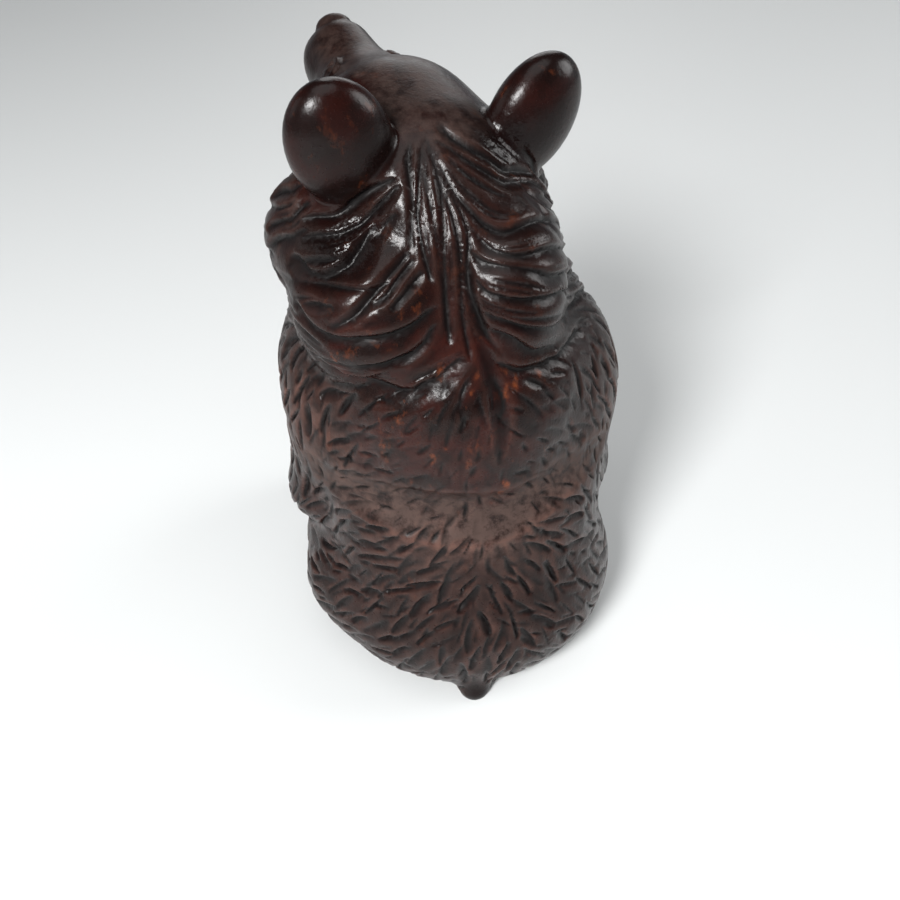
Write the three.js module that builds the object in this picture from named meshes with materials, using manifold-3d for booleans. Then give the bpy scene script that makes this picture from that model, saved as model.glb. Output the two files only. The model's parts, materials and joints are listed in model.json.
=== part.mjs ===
// A bear that sits upright, carved from one block of limewood and stained nearly black.
// Millimetres, +Z up. The origin is on the flat underside, below the middle of the body.
// The chest faces -Y, so the bear's own left is +X. Its head is turned to its left.
// The form is worked out as a distance to its surface: rounded masses joined with fillets,
// then the cuts of a gouge taken out along the lie of the coat.

import * as THREE from 'three';
import { triTable } from 'three/addons/objects/MarchingCubes.js';
import Module from 'manifold-3d';

// Driving sizes, in millimetres and degrees
const height = 150; // floor to the tips of the ears
const shoulderWidth = 76;
const hipWidth = 77;
const headWidth = 44; // across the skull, without the cheek fur
const headTurn = 20; // to the bear's left
const headLift = 21; // muzzle above level
const headTilt = -3; // negative with its left ear the higher one
const muzzleLength = 28; // from the side of the skull's width to the end of the nose
const muzzleWidth = 15;
const earLength = 26.5;
const earWidth = 20;
const earThickness = 13;
const pawWidth = 20;
const footWidth = 23;
const eyeWidth = 4.8;
const noseWidth = 8.5;
const toeWidth = 4.9;
const clawLength = 5.6;
const clawWidth = 3.8;
const toeCount = 5; // on each paw and each foot
const tailWidth = 9;

// The cuts of the gouge: long and wide in the mane, short on the body
const maneCut = { length: 28, width: 7.6, depth: 2.6 };
const coatCut = { length: 15, width: 6.8, depth: 1.9 };
const cutStep = 2; // from one sample of a cut to the next

// The mesh: edge of a cube of the grid, and the facets kept of the body
const gridStep = 2;
const facetGoal = 8500;

const percent = height / 100;
const at = (x, y, z) => new THREE.Vector3(x, y, z).multiplyScalar(percent);
const size = (share) => share * percent;
const radians = THREE.MathUtils.degToRad;
const sides = [1, -1]; // left, right

// Solid masses, each as a signed distance that is negative inside

// An ellipsoid, turned about X, then Y, then Z
function egg(centre, radii, turn = [0, 0, 0]) {
  const euler = new THREE.Euler(...turn.map(radians), 'ZYX');
  const m = new THREE.Matrix4().makeRotationFromEuler(euler).transpose().elements;
  const { x: rx, y: ry, z: rz } = radii;
  return (x, y, z) => {
    const dx = x - centre.x;
    const dy = y - centre.y;
    const dz = z - centre.z;
    const u = (m[0] * dx + m[4] * dy + m[8] * dz) / rx;
    const v = (m[1] * dx + m[5] * dy + m[9] * dz) / ry;
    const w = (m[2] * dx + m[6] * dy + m[10] * dz) / rz;
    const near = Math.sqrt(u * u + v * v + w * w);
    const steep = Math.sqrt((u / rx) ** 2 + (v / ry) ** 2 + (w / rz) ** 2);
    return steep > 0 ? (near * (near - 1)) / steep : -Math.min(rx, ry, rz);
  };
}

// A limb with round ends, from one radius to another
function limb(from, to, startRadius, endRadius) {
  const along = to.clone().sub(from);
  const square = along.lengthSq();
  return (x, y, z) => {
    const dx = x - from.x;
    const dy = y - from.y;
    const dz = z - from.z;
    const share = THREE.MathUtils.clamp((dx * along.x + dy * along.y + dz * along.z) / square, 0, 1);
    const ex = dx - share * along.x;
    const ey = dy - share * along.y;
    const ez = dz - share * along.z;
    return Math.sqrt(ex * ex + ey * ey + ez * ez) - THREE.MathUtils.lerp(startRadius, endRadius, share);
  };
}

// Two distances joined, with a fillet of about the given radius
function blended(a, b, fillet) {
  const mix = Math.max(fillet - Math.abs(a - b), 0) / fillet;
  return Math.min(a, b) - (mix * mix * fillet) / 4;
}

// Masses joined one after another
function joined(masses) {
  return (x, y, z) => {
    let distance = Infinity;
    for (const { mass, fillet } of masses) {
      const next = mass(x, y, z);
      distance = distance === Infinity ? next : blended(distance, next, fillet);
    }
    return distance;
  };
}

// A mass with a hollow cut out of it
function hollowed(mass, hollow, fillet) {
  return (x, y, z) => -blended(-mass(x, y, z), hollow(x, y, z), fillet);
}

// A mass in a frame of its own, moved into the bear's
function placed(mass, pose) {
  const m = pose.clone().invert().elements;
  return (x, y, z) =>
    mass(
      m[0] * x + m[4] * y + m[8] * z + m[12],
      m[1] * x + m[5] * y + m[9] * z + m[13],
      m[2] * x + m[6] * y + m[10] * z + m[14]
    );
}

// The pose of the head: its own frame has the nose along -Y and sits in the middle of the skull
const headPose = new THREE.Matrix4()
  .makeRotationFromEuler(new THREE.Euler(-radians(headLift), radians(headTilt), radians(headTurn), 'ZYX'))
  .setPosition(at(3.2, -8, 81));
const noseEnd = -headWidth / 2 - muzzleLength;

// From the middle of the body to the middle of a leg, with its foot and the paw on its knee
const legSpread = hipWidth / 2 - size(9.7);

function torso() {
  const belly = new THREE.Vector3(hipWidth * 0.444, size(18.5), size(22));
  const shoulderRadius = size(10);
  const chest = new THREE.Vector3(shoulderWidth * 0.385, size(16), size(17));
  const leftLock = new THREE.Vector3(shoulderWidth * 0.345, size(-6), size(57));
  const rightLock = new THREE.Vector3(shoulderWidth * -0.286, size(-5), size(57));
  const masses = [
    { mass: egg(at(-2, 0.3, 12), new THREE.Vector3(hipWidth / 2, size(23), size(20))), fillet: 1 },
    { mass: egg(at(-1.4, 0, 34), belly), fillet: size(10) },
    { mass: egg(at(0, -9, 27), new THREE.Vector3(hipWidth * 0.33, size(16), size(17))), fillet: size(7) },
    { mass: egg(at(0, 0, 55), chest, [14, 0, 0]), fillet: size(8) },
    { mass: egg(at(0, -12, 54), at(14, 10.5, 16), [-8, 0, 0]), fillet: size(8) },
    { mass: limb(at(0, 0, 58), at(1, -4, 76), size(16.5), size(14)), fillet: size(7) },
    { mass: limb(at(11.5, -3, 76), leftLock, size(9.5), size(8)), fillet: size(4) },
    { mass: limb(at(-6, -5, 76), rightLock, size(8.5), size(8)), fillet: size(4) },
  ];
  for (const side of sides) {
    const centre = new THREE.Vector3(side * (shoulderWidth / 2 - shoulderRadius), size(-2), size(48.5));
    const radii = new THREE.Vector3(shoulderRadius, size(11), size(15));
    masses.push({ mass: egg(centre, radii, [10, side * 6, 0]), fillet: size(5) });
  }
  return masses;
}

// The fur of the neck hangs in two lobes, the left one pushed out by the turned head
function mane() {
  return [
    { mass: egg(at(10.5, 1, 70), at(12.5, 12.5, 13)), fillet: size(3) },
    { mass: egg(at(-5.5, 1.5, 72), at(9.5, 12.5, 13)), fillet: size(3) },
  ];
}

function head() {
  const muzzle = muzzleWidth / 2;
  const noseTip = new THREE.Vector3(0, noseEnd + muzzle, size(-1.4));
  const chin = new THREE.Vector3(0, noseEnd + muzzle * 1.3, size(-5.8));
  const masses = [
    { mass: egg(at(0, 0, 0), new THREE.Vector3(headWidth / 2, size(16.5), size(12.7))), fillet: 1 },
    { mass: egg(at(0, -11, 2.3), at(10.8, 8.6, 7.9)), fillet: size(4) },
    { mass: egg(at(0, -15.5, -3.6), at(9.8, 9.8, 8.4)), fillet: size(4) },
    { mass: limb(at(0, -17, -0.8), noseTip, muzzle * 1.25, muzzle), fillet: size(3) },
    { mass: limb(at(0, -12, -7), chin, muzzle * 1.35, muzzle * 0.74), fillet: size(1.2) },
    { mass: egg(at(12.4, -1, -6.5), at(9.2, 9.5, 10.5), [0, 12, 0]), fillet: size(5) },
    { mass: egg(at(-12.6, -2, -6.5), at(8.7, 9.5, 10.5), [0, -12, 0]), fillet: size(5) },
  ];
  for (const side of sides) {
    const lip = egg(
      new THREE.Vector3(side * muzzle * 0.36, noseEnd + muzzle * 1.2, size(-3)),
      new THREE.Vector3(muzzle * 0.74, muzzle * 1.3, muzzle * 0.8)
    );
    masses.push({ mass: lip, fillet: size(1.6) });
    masses.push({ mass: ear(side), fillet: size(2) });
  }
  return masses.map(({ mass, fillet }) => ({ mass: placed(mass, headPose), fillet }));
}

function ear(side) {
  const middle = at(side * 13.4, side * -0.6, 10.5);
  const turn = [14, side * 24, 0];
  const radii = new THREE.Vector3(earWidth / 2, earThickness / 2, earLength / 2);
  const cupOffset = new THREE.Vector3(side * size(0.8), -earThickness * 0.62, size(1.5));
  const cupRadii = new THREE.Vector3(earWidth * 0.33, earThickness * 0.5, earLength * 0.36);
  const cup = egg(middle.clone().add(cupOffset), cupRadii, turn);
  return hollowed(egg(middle, radii, turn), cup, size(1.2));
}

// Frames in the middle of a paw and of a foot
function pawPose(side) {
  return new THREE.Matrix4()
    .makeRotationFromEuler(new THREE.Euler(radians(20), 0, radians(side * -8), 'ZYX'))
    .setPosition(side * legSpread, size(-25.5), size(27));
}

function footPose(side) {
  return new THREE.Matrix4()
    .makeRotationFromEuler(new THREE.Euler(radians(-12), 0, radians(side * 6), 'ZYX'))
    .setPosition(side * legSpread, size(-32.5), size(8.5));
}

function arm(side) {
  const shoulder = new THREE.Vector3(side * (shoulderWidth / 2 - size(8.5)), size(-3), size(50));
  const elbow = new THREE.Vector3(side * (shoulderWidth / 2 - size(4.9)), size(-5), size(30));
  const wrist = new THREE.Vector3(side * (legSpread + size(0.5)), size(-20.5), size(28));
  const paw = egg(new THREE.Vector3(), new THREE.Vector3(pawWidth / 2, size(7.5), size(4.8)));
  return [
    { mass: limb(shoulder, elbow, size(8.5), size(6.8)), fillet: size(3) },
    { mass: limb(elbow, wrist, size(6.6), size(5.4)), fillet: size(2.5) },
    { mass: placed(paw, pawPose(side)), fillet: size(2) },
  ];
}

function leg(side) {
  const hip = new THREE.Vector3(side * (hipWidth / 2 - size(11.5)), 0, size(13));
  const knee = new THREE.Vector3(side * (legSpread + size(0.5)), size(-20), size(16.5));
  const ankle = new THREE.Vector3(side * (legSpread - size(0.5)), size(-28), size(6.5));
  const foot = egg(new THREE.Vector3(), new THREE.Vector3(footWidth / 2, size(5), size(9.4)));
  return [
    { mass: limb(hip, knee, size(12.5), size(9)), fillet: size(3) },
    { mass: limb(knee, ankle, size(8.5), size(6.5)), fillet: size(3) },
    { mass: placed(foot, footPose(side)), fillet: size(2) },
  ];
}

const tail = limb(at(-0.5, 18, 6), at(-0.5, 20, 1), tailWidth / 2, tailWidth / 2.2);

// Frames for the toes, across the end of a paw and over the top of a foot, with the claw along -Y
function toeFrames(side) {
  const frames = [];
  for (let n = 0; n < toeCount; n++) {
    const share = (2 * n) / (toeCount - 1) - 1;
    const across = (share * (pawWidth - toeWidth)) / 2;
    const ahead = size(6.6) * Math.sqrt(1 - (across / (pawWidth / 2)) ** 2);
    const onPaw = new THREE.Matrix4().makeTranslation(across, -ahead, -size(0.8));
    frames.push(onPaw.premultiply(pawPose(side)));
    const lean = radians(42 * share);
    const onFoot = new THREE.Matrix4()
      .makeRotationFromEuler(new THREE.Euler(radians(-50), lean * 0.3, 0, 'YXZ'))
      .setPosition(Math.sin(lean) * (footWidth / 2 + size(0.6)), -size(2), Math.cos(lean) * size(8.8));
    frames.push(onFoot.premultiply(footPose(side)));
  }
  return frames;
}

const masses = [...torso(), ...mane(), ...head()];
const toes = sides.flatMap(toeFrames);
for (const side of sides) masses.push(...arm(side), ...leg(side));
masses.push({ mass: tail, fillet: size(2) });
const toe = egg(new THREE.Vector3(), new THREE.Vector3(toeWidth / 2, toeWidth * 0.7, toeWidth * 0.55));
for (const frame of toes) masses.push({ mass: placed(toe, frame), fillet: size(0.5) });
const form = joined(masses);

// The way out of a field at a point
function outward(field, point) {
  const tiny = 0.05;
  const { x, y, z } = point;
  return new THREE.Vector3(
    field(x + tiny, y, z) - field(x - tiny, y, z),
    field(x, y + tiny, z) - field(x, y - tiny, z),
    field(x, y, z + tiny) - field(x, y, z - tiny)
  ).normalize();
}

// A point moved onto the surface of a field, in a few short steps
function settled(field, point) {
  for (let n = 0; n < 3; n++) {
    point.addScaledVector(outward(field, point), -field(point.x, point.y, point.z));
  }
  return point;
}

// Marching cubes over a box, with the corners and edges numbered as the table of three.js has them
function polygonised(field, low, high, step) {
  const [nx, ny, nz] = high.clone().sub(low).divideScalar(step).ceil().addScalar(1).toArray();
  const index = (i, j, k) => i + nx * (j + ny * k);
  const place = (i, j, k) => [low.x + i * step, low.y + j * step, low.z + k * step];
  const values = new Float64Array(nx * ny * nz);
  for (let k = 0; k < nz; k++) {
    for (let j = 0; j < ny; j++) {
      for (let i = 0; i < nx; i++) values[index(i, j, k)] = field(...place(i, j, k)) || Number.EPSILON;
    }
  }
  const square = [[0, 0], [1, 0], [1, 1], [0, 1]];
  const corners = [0, 1].flatMap((c) => square.map(([a, b]) => [a, b, c]));
  const ring = (from) => [[from, from + 1], [from + 1, from + 2], [from + 3, from + 2], [from, from + 3]];
  const edges = [...ring(0), ...ring(4), [0, 4], [1, 5], [2, 6], [3, 7]];
  const points = [];
  const triangles = [];
  const crossings = new Map();
  const crossing = (i, j, k, edge) => {
    const [a, b] = edges[edge].map((c) => [i + corners[c][0], j + corners[c][1], k + corners[c][2]]);
    const ia = index(...a);
    const ib = index(...b);
    const key = ia * values.length + ib;
    if (!crossings.has(key)) {
      const from = new THREE.Vector3(...place(...a));
      crossings.set(key, points.length);
      points.push(from.lerp(new THREE.Vector3(...place(...b)), values[ia] / (values[ia] - values[ib])));
    }
    return crossings.get(key);
  };
  for (let k = 0; k < nz - 1; k++) {
    for (let j = 0; j < ny - 1; j++) {
      for (let i = 0; i < nx - 1; i++) {
        let inside = 0;
        corners.forEach(([a, b, c], n) => {
          if (values[index(i + a, j + b, k + c)] < 0) inside |= 1 << n;
        });
        const row = inside * 16;
        for (let n = row; n < row + 15 && triTable[n] !== -1; n += 3) {
          const triangle = [triTable[n], triTable[n + 2], triTable[n + 1]];
          triangles.push(triangle.map((edge) => crossing(i, j, k, edge)));
        }
      }
    }
  }
  return { points, triangles };
}

// Fewer facets: the edge whose loss bends the surface least goes first, as long as the mesh stays closed.
// The bend is the sum of squared distances to the planes of the facets that met there.
function thinned({ points, triangles }, goal) {
  const quadrics = points.map(() => new Float64Array(10));
  const around = points.map(() => new Set());
  const corners = triangles.map((triangle) => [...triangle]);
  const normalOf = ([a, b, c], moved = -1, place = null) => {
    const [pa, pb, pc] = [a, b, c].map((n) => (n === moved ? place : points[n]));
    return pb.clone().sub(pa).cross(pc.clone().sub(pa));
  };
  corners.forEach((triangle, n) => {
    const normal = normalOf(triangle);
    const area = normal.length();
    normal.divideScalar(area || 1);
    const plane = [...normal.toArray(), -normal.dot(points[triangle[0]])];
    for (const corner of triangle) {
      around[corner].add(n);
      let slot = 0;
      for (let i = 0; i < 4; i++) {
        for (let j = i; j < 4; j++) quadrics[corner][slot++] += area * plane[i] * plane[j];
      }
    }
  });
  const bend = (q, { x, y, z }) =>
    q[0] * x * x + 2 * q[1] * x * y + 2 * q[2] * x * z + 2 * q[3] * x +
    q[4] * y * y + 2 * q[5] * y * z + 2 * q[6] * y +
    q[7] * z * z + 2 * q[8] * z + q[9];
  const best = (q, a, b) => {
    const choices = [a.clone().lerp(b, 0.5), a.clone(), b.clone()];
    const m = new THREE.Matrix3(q[0], q[1], q[2], q[1], q[4], q[5], q[2], q[5], q[7]);
    if (Math.abs(m.determinant()) > 1e-3 * (q[0] + q[4] + q[7]) ** 3) {
      const exact = new THREE.Vector3(-q[3], -q[6], -q[8]).applyMatrix3(m.invert());
      if (exact.distanceTo(choices[0]) < a.distanceTo(b)) choices.push(exact);
    }
    const costs = choices.map((choice) => bend(q, choice));
    const n = costs.indexOf(Math.min(...costs));
    return { place: choices[n], cost: costs[n] };
  };

  // A heap of edges, the cheapest on top
  const heap = [];
  const swap = (i, j) => ([heap[i], heap[j]] = [heap[j], heap[i]]);
  const push = (entry) => {
    let n = heap.push(entry) - 1;
    for (let up = (n - 1) >> 1; n > 0 && heap[n].cost < heap[up].cost; up = (n - 1) >> 1) {
      swap(n, up);
      n = up;
    }
  };
  const pop = () => {
    const top = heap[0];
    const last = heap.pop();
    if (heap.length > 0) heap[0] = last;
    for (let n = 0; ; ) {
      const [left, right] = [2 * n + 1, 2 * n + 2];
      let least = n;
      if (left < heap.length && heap[left].cost < heap[least].cost) least = left;
      if (right < heap.length && heap[right].cost < heap[least].cost) least = right;
      if (least === n) return top;
      swap(n, least);
      n = least;
    }
  };
  const stamps = new Uint32Array(points.length);
  const offer = (a, b) => {
    const q = quadrics[a].map((value, n) => value + quadrics[b][n]);
    const { place, cost } = best(q, points[a], points[b]);
    const length = points[a].distanceToSquared(points[b]);
    push({ a, b, q, place, cost: cost + 1e-4 * length * length, stamp: stamps[a] + stamps[b] });
  };
  const ring = (n) => new Set([...around[n]].flatMap((t) => corners[t]).filter((corner) => corner !== n));
  corners.forEach(([a, b, c]) => {
    for (const [from, to] of [[a, b], [b, c], [c, a]]) if (from < to) offer(from, to);
  });

  let count = corners.length;
  const gone = new Set();
  while (count > goal && heap.length > 0) {
    const { a, b, q, place, stamp } = pop();
    if (gone.has(a) || gone.has(b) || stamp !== stamps[a] + stamps[b]) continue;
    const ringA = ring(a);
    const shared = [...ring(b)].filter((corner) => ringA.has(corner));
    const lost = [...around[a]].filter((t) => around[b].has(t));
    if (shared.length !== 2 || lost.length !== 2) continue;
    const flips = (corner) =>
      [...around[corner]].some((t) => {
        if (lost.includes(t)) return false;
        const before = normalOf(corners[t]);
        const after = normalOf(corners[t], corner, place);
        return before.dot(after) < 0.3 * before.length() * after.length();
      });
    if (flips(a) || flips(b)) continue;
    for (const t of lost) {
      for (const corner of corners[t]) around[corner].delete(t);
      corners[t] = null;
    }
    for (const t of around[b]) {
      corners[t] = corners[t].map((corner) => (corner === b ? a : corner));
      around[a].add(t);
    }
    gone.add(b);
    points[a].copy(place);
    quadrics[a] = q;
    stamps[a]++;
    count -= 2;
    for (const corner of ring(a)) offer(a, corner);
  }
  const numbers = new Map();
  const kept = [];
  const facets = corners.filter(Boolean).map((triangle) =>
    triangle.map((corner) => {
      if (!numbers.has(corner)) {
        numbers.set(corner, kept.length);
        kept.push(points[corner]);
      }
      return numbers.get(corner);
    })
  );
  return { points: kept, triangles: facets };
}

// How the coat lies: at a place the hair runs some way, felt as far as a reach.
// Each row is for the bear's left and is repeated on its right.
const coat = [];
function lay(place, way, reach, pose = new THREE.Matrix4()) {
  for (const side of sides) {
    const from = at(side * place[0], place[1], place[2]).applyMatrix4(pose);
    const direction = new THREE.Vector3(side * way[0], way[1], way[2]).transformDirection(pose);
    coat.push({ from, direction, reach: size(reach) });
  }
}
// Head
lay([0, 10, 11], [0.1, 1, -0.6], 8, headPose);
lay([12, 9, 2], [0.8, 0.3, -0.6], 9, headPose);
lay([20, -2, -6], [0.5, -0.8, -0.4], 9, headPose);
lay([10, -14, -6], [0.5, 0.6, -0.8], 7, headPose);
lay([0, -8, -14], [0.1, 0.2, -1], 8, headPose);
// Mane
lay([1, 14, 76], [0.1, 0.2, -1], 7);
lay([10, 12, 72], [0.8, 0, -0.6], 8);
lay([21, 0, 70], [0.2, -1, -0.2], 9);
lay([8, 15, 62], [0.7, 0, -0.6], 7);
// Back and rump
lay([0, 17, 48], [0.05, 0, -1], 9);
lay([14, 13, 50], [0.6, -0.1, -0.5], 10);
lay([0, 20, 30], [0.1, 0, -1], 6);
lay([12, 17, 26], [0.7, -0.1, -0.7], 10);
lay([0, 22, 10], [0.1, 0, -1], 6);
lay([20, 9, 16], [0.7, -0.6, -0.5], 10);
lay([26, -2, 18], [0.1, -1, -0.3], 10);
// Arms and legs
lay([26, -2, 54], [0.1, -0.3, -1], 10);
lay([26, -5, 38], [0, -0.2, -1], 9);
lay([18, -15, 30], [-0.1, -1, -0.2], 7);
lay([18, -16, 18], [0.1, -1, -0.1], 9);
lay([16, -28, 10], [0, -0.3, -1], 6);
// Chest and belly
lay([0, -22, 64], [0.05, -0.1, -1], 9);
lay([12, -16, 58], [-0.3, -0.2, -1], 9);
lay([0, -25, 36], [0.1, 0, -1], 9);
lay([12, -20, 30], [0.6, 0, -0.7], 8);

// The way of the hair at a point, along the surface
function hair(point, out) {
  const way = new THREE.Vector3();
  for (const { from, direction, reach } of coat) {
    way.addScaledVector(direction, Math.exp(-from.distanceToSquared(point) / (reach * reach)));
  }
  return way.projectOnPlane(out).normalize();
}

// The parts left smooth: the face, the ears, the soles, the ends of the paws and the foot of the block
const faceFrame = headPose.clone().invert();
function smooth(point) {
  const local = point.clone().applyMatrix4(faceFrame).divideScalar(percent);
  const face = local.z > -14 && (local.y < -14 || (local.z > -1 && local.y < 5.5));
  const ears = local.z > 3 && Math.abs(local.x) > 7 && local.y < 9;
  return face || ears || point.y < size(-27) || point.z < size(3);
}

// Seeds of the cuts, never closer than the cuts are long and wide, taken in a shuffled order
function seeds(points) {
  let state = 7;
  const shuffled = points.map((point) => {
    state = (state * 16807) % 2147483647;
    return { point, order: state };
  });
  shuffled.sort((a, b) => a.order - b.order);
  const taken = [];
  for (const { point } of shuffled) {
    if (smooth(point)) continue;
    const cut = point.z > size(63) ? maneCut : coatCut;
    const way = hair(point, outward(form, point));
    const clear = taken.every((other) => {
      const gap = point.clone().sub(other.point);
      const along = gap.dot(other.way);
      const across = gap.addScaledVector(other.way, -along).length();
      return Math.hypot(along / (other.cut.length * 0.75), across / (other.cut.width * 0.92)) > 1;
    });
    if (clear) taken.push({ point, way, cut });
  }
  return taken;
}

// One cut as samples: it runs with the hair, shallow where the gouge enters and deep where it leaves
function cutSamples({ point, cut }) {
  const walk = (towards) => {
    const path = [];
    const here = point.clone();
    for (let gone = 0; gone < cut.length / 2; gone += cutStep) {
      path.push(here.clone());
      here.addScaledVector(hair(here, outward(form, here)), towards * cutStep);
      settled(form, here);
    }
    return path;
  };
  const path = [...walk(-1).reverse(), ...walk(1).slice(1)];
  return path.map((place, n) => {
    const share = (n + 1) / path.length;
    return { place, depth: cut.depth * share * (2 - share), reach: cut.width / 2 };
  });
}

// The form with its cuts: each sample takes out a shallow round bite
function carved(field, samples) {
  const cell = Math.max(maneCut.width, coatCut.width) / 2;
  const key = (i, j, k) => (i * 4096 + j) * 4096 + k;
  const cells = new Map();
  const cellOf = (value) => Math.floor(value / cell) + 2048;
  for (const sample of samples) {
    const home = key(...sample.place.toArray().map(cellOf));
    if (!cells.has(home)) cells.set(home, []);
    cells.get(home).push(sample);
  }
  return (x, y, z) => {
    const distance = field(x, y, z);
    if (Math.abs(distance) > 2 * cell) return distance;
    const [i, j, k] = [x, y, z].map(cellOf);
    let bite = 0;
    for (let n = 0; n < 27; n++) {
      const [a, b, c] = [n % 3, Math.floor(n / 3) % 3, Math.floor(n / 9)];
      for (const { place, depth, reach } of cells.get(key(i + a - 1, j + b - 1, k + c - 1)) ?? []) {
        const square = (x - place.x) ** 2 + (y - place.y) ** 2 + (z - place.z) ** 2;
        bite = Math.max(bite, depth * (1 - square / (reach * reach)));
      }
    }
    return distance + bite;
  };
}

// The box that holds the bear. It reaches below the floor, where the rounded masses close,
// and its layers lie half a step above and below the floor.
const boxSide = Math.max(hipWidth, shoulderWidth, 2 * headWidth) / 2 + size(7);
const boxLow = (Math.ceil(size(10) / gridStep) + 0.5) * gridStep;
const low = new THREE.Vector3(-boxSide, noseEnd - size(14), -boxLow);
const high = new THREE.Vector3(boxSide, size(29), size(92) + earLength * 0.7);
const samples = seeds(polygonised(form, low, high, gridStep).points).flatMap(cutSamples);
const surface = carved(form, samples);
const body = thinned(polygonised(surface, low, high, gridStep), facetGoal);

// Parts joined to the body and the flat underside, cut as solids
const wasm = await Module();
wasm.setup();
const { Manifold, Mesh } = wasm;

function solidOf(positions, triangles) {
  const vertProperties = new Float32Array(positions);
  const mesh = new Mesh({ numProp: 3, vertProperties, triVerts: new Uint32Array(triangles) });
  mesh.merge();
  return new Manifold(mesh);
}

// A closed primitive of three.js as a solid, its seams welded
function solid(primitive, pose) {
  const { attributes, index } = primitive.clone().applyMatrix4(pose);
  const { array, count } = attributes.position;
  return solidOf(array, index ? index.array : [...Array(count).keys()]);
}

const ball = new THREE.IcosahedronGeometry(1, 1);

// An ellipsoid of facets, in the head's frame or the bear's
function bead(centre, radii, turn = [0, 0, 0], frame = new THREE.Matrix4()) {
  const euler = new THREE.Euler(...turn.map(radians), 'ZYX');
  const pose = new THREE.Matrix4().compose(centre, new THREE.Quaternion().setFromEuler(euler), radii);
  return solid(ball, pose.premultiply(frame));
}

const details = [];

// Nose and eyes
details.push(
  bead(
    new THREE.Vector3(0, noseEnd + noseWidth * 0.26, size(0.6)),
    new THREE.Vector3(noseWidth / 2, noseWidth * 0.36, noseWidth * 0.4),
    [-12, 0, 0],
    headPose
  )
);
for (const side of sides) {
  const eye = at(side * 6.2, -21, 3.6).applyMatrix4(headPose);
  settled(form, eye).addScaledVector(outward(form, eye), -eyeWidth * 0.15);
  const radius = eyeWidth / 2;
  details.push(bead(eye, new THREE.Vector3(radius, radius, radius)));
}

// A claw at the end of each toe, pointing down a little
const claw = new THREE.CylinderGeometry(clawWidth * 0.2, clawWidth / 2, clawLength, 6);
for (const frame of toes) {
  const tilt = new THREE.Matrix4()
    .makeRotationX(radians(-150))
    .setPosition(0, -toeWidth * 0.62 - clawLength * 0.16, -clawLength * 0.1);
  details.push(solid(claw, tilt.premultiply(frame)));
}

const reach = 2 * height;
const floor = solid(
  new THREE.BoxGeometry(reach, reach, reach),
  new THREE.Matrix4().makeTranslation(0, 0, -reach / 2)
);
const positions = body.points.flatMap((point) => point.toArray());
let whole = solidOf(positions, body.triangles.flat());
for (const detail of details) whole = whole.add(detail);
whole = whole.subtract(floor);
const mesh = whole.getMesh();

const geometry = new THREE.BufferGeometry();
geometry.setAttribute('position', new THREE.BufferAttribute(mesh.vertProperties, 3));
geometry.setIndex(new THREE.BufferAttribute(mesh.triVerts, 1));
geometry.computeVertexNormals();

const stained = new THREE.MeshStandardMaterial({ color: 0x2c1a16, roughness: 0.42, metalness: 0 });
const bear = new THREE.Mesh(geometry, stained);
bear.name = 'bear';

const carving = new THREE.Group();
carving.name = 'bear_carving';
carving.add(bear);

export default carving;
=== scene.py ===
"""A seated bear carved from one block of limewood and stained nearly black, on a pale table.

The bear is blocked out with primitives and drawn together into one skin. The skin is settled
on rounded masses joined with fillets, the same masses as in the solid. Then the coat is cut
into it: the drawn locks of the mane, and elsewhere folds, grooves and short marks of the
gouge along the lie of the hair.
Masses and cuts are worked out in millimetres, and the meshes are in metres.
"""

import json
import math

import bpy
import numpy as np
from mathutils import Euler, Matrix, Vector, kdtree

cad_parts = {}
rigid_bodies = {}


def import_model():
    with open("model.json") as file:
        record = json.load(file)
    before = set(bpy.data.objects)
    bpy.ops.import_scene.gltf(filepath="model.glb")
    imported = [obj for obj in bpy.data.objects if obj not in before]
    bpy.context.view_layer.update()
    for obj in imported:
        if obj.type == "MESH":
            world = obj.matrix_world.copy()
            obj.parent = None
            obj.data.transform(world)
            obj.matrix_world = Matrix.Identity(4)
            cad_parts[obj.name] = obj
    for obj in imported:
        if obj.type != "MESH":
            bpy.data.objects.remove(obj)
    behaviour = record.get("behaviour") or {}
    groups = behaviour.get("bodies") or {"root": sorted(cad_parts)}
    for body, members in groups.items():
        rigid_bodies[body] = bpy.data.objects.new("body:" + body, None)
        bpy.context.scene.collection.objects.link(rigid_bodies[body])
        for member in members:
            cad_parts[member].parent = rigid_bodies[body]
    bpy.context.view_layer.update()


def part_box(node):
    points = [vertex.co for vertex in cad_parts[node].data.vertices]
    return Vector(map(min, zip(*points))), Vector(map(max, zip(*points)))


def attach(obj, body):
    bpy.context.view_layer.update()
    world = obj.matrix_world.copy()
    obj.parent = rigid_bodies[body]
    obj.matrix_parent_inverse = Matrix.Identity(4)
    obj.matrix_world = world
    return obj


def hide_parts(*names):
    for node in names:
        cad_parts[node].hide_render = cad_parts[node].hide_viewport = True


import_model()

bl_info = {
    "name": "Carved bear",
    "version": (1, 0, 0),
    "blender": (4, 5, 0),
    "location": "View3D > Sidebar > Carved bear",
    "description": "Builds a seated bear carved from stained limewood",
    "category": "Add Mesh",
}

NODE = "bear"
MM = 0.001
SIDES = (1, -1)  # the bear's left, then its right
ANGLES = ("head_turn", "head_lift", "head_tilt")
COUNTS = ("toe_count", "skin_facets")
FIRST_CELL = 1.3  # millimetres, edge of a cell of the first skin
BLOCK = 9  # millimetres, edge of a block of points that are measured together
BLOCKS = 128  # blocks along each side of the space around the origin
SAMPLES = 90  # places along a drawn cut
TRIED = 60000  # points of the skin tried at most for one kind of mark
MANE_FOOT = 62  # percent of the height, where the mane begins


# Sizes and colours that a user would change


def length(name, description, default):
    return bpy.props.FloatProperty(
        name=name, description=description, default=default, min=0.0, unit="LENGTH", subtype="DISTANCE"
    )


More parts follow.
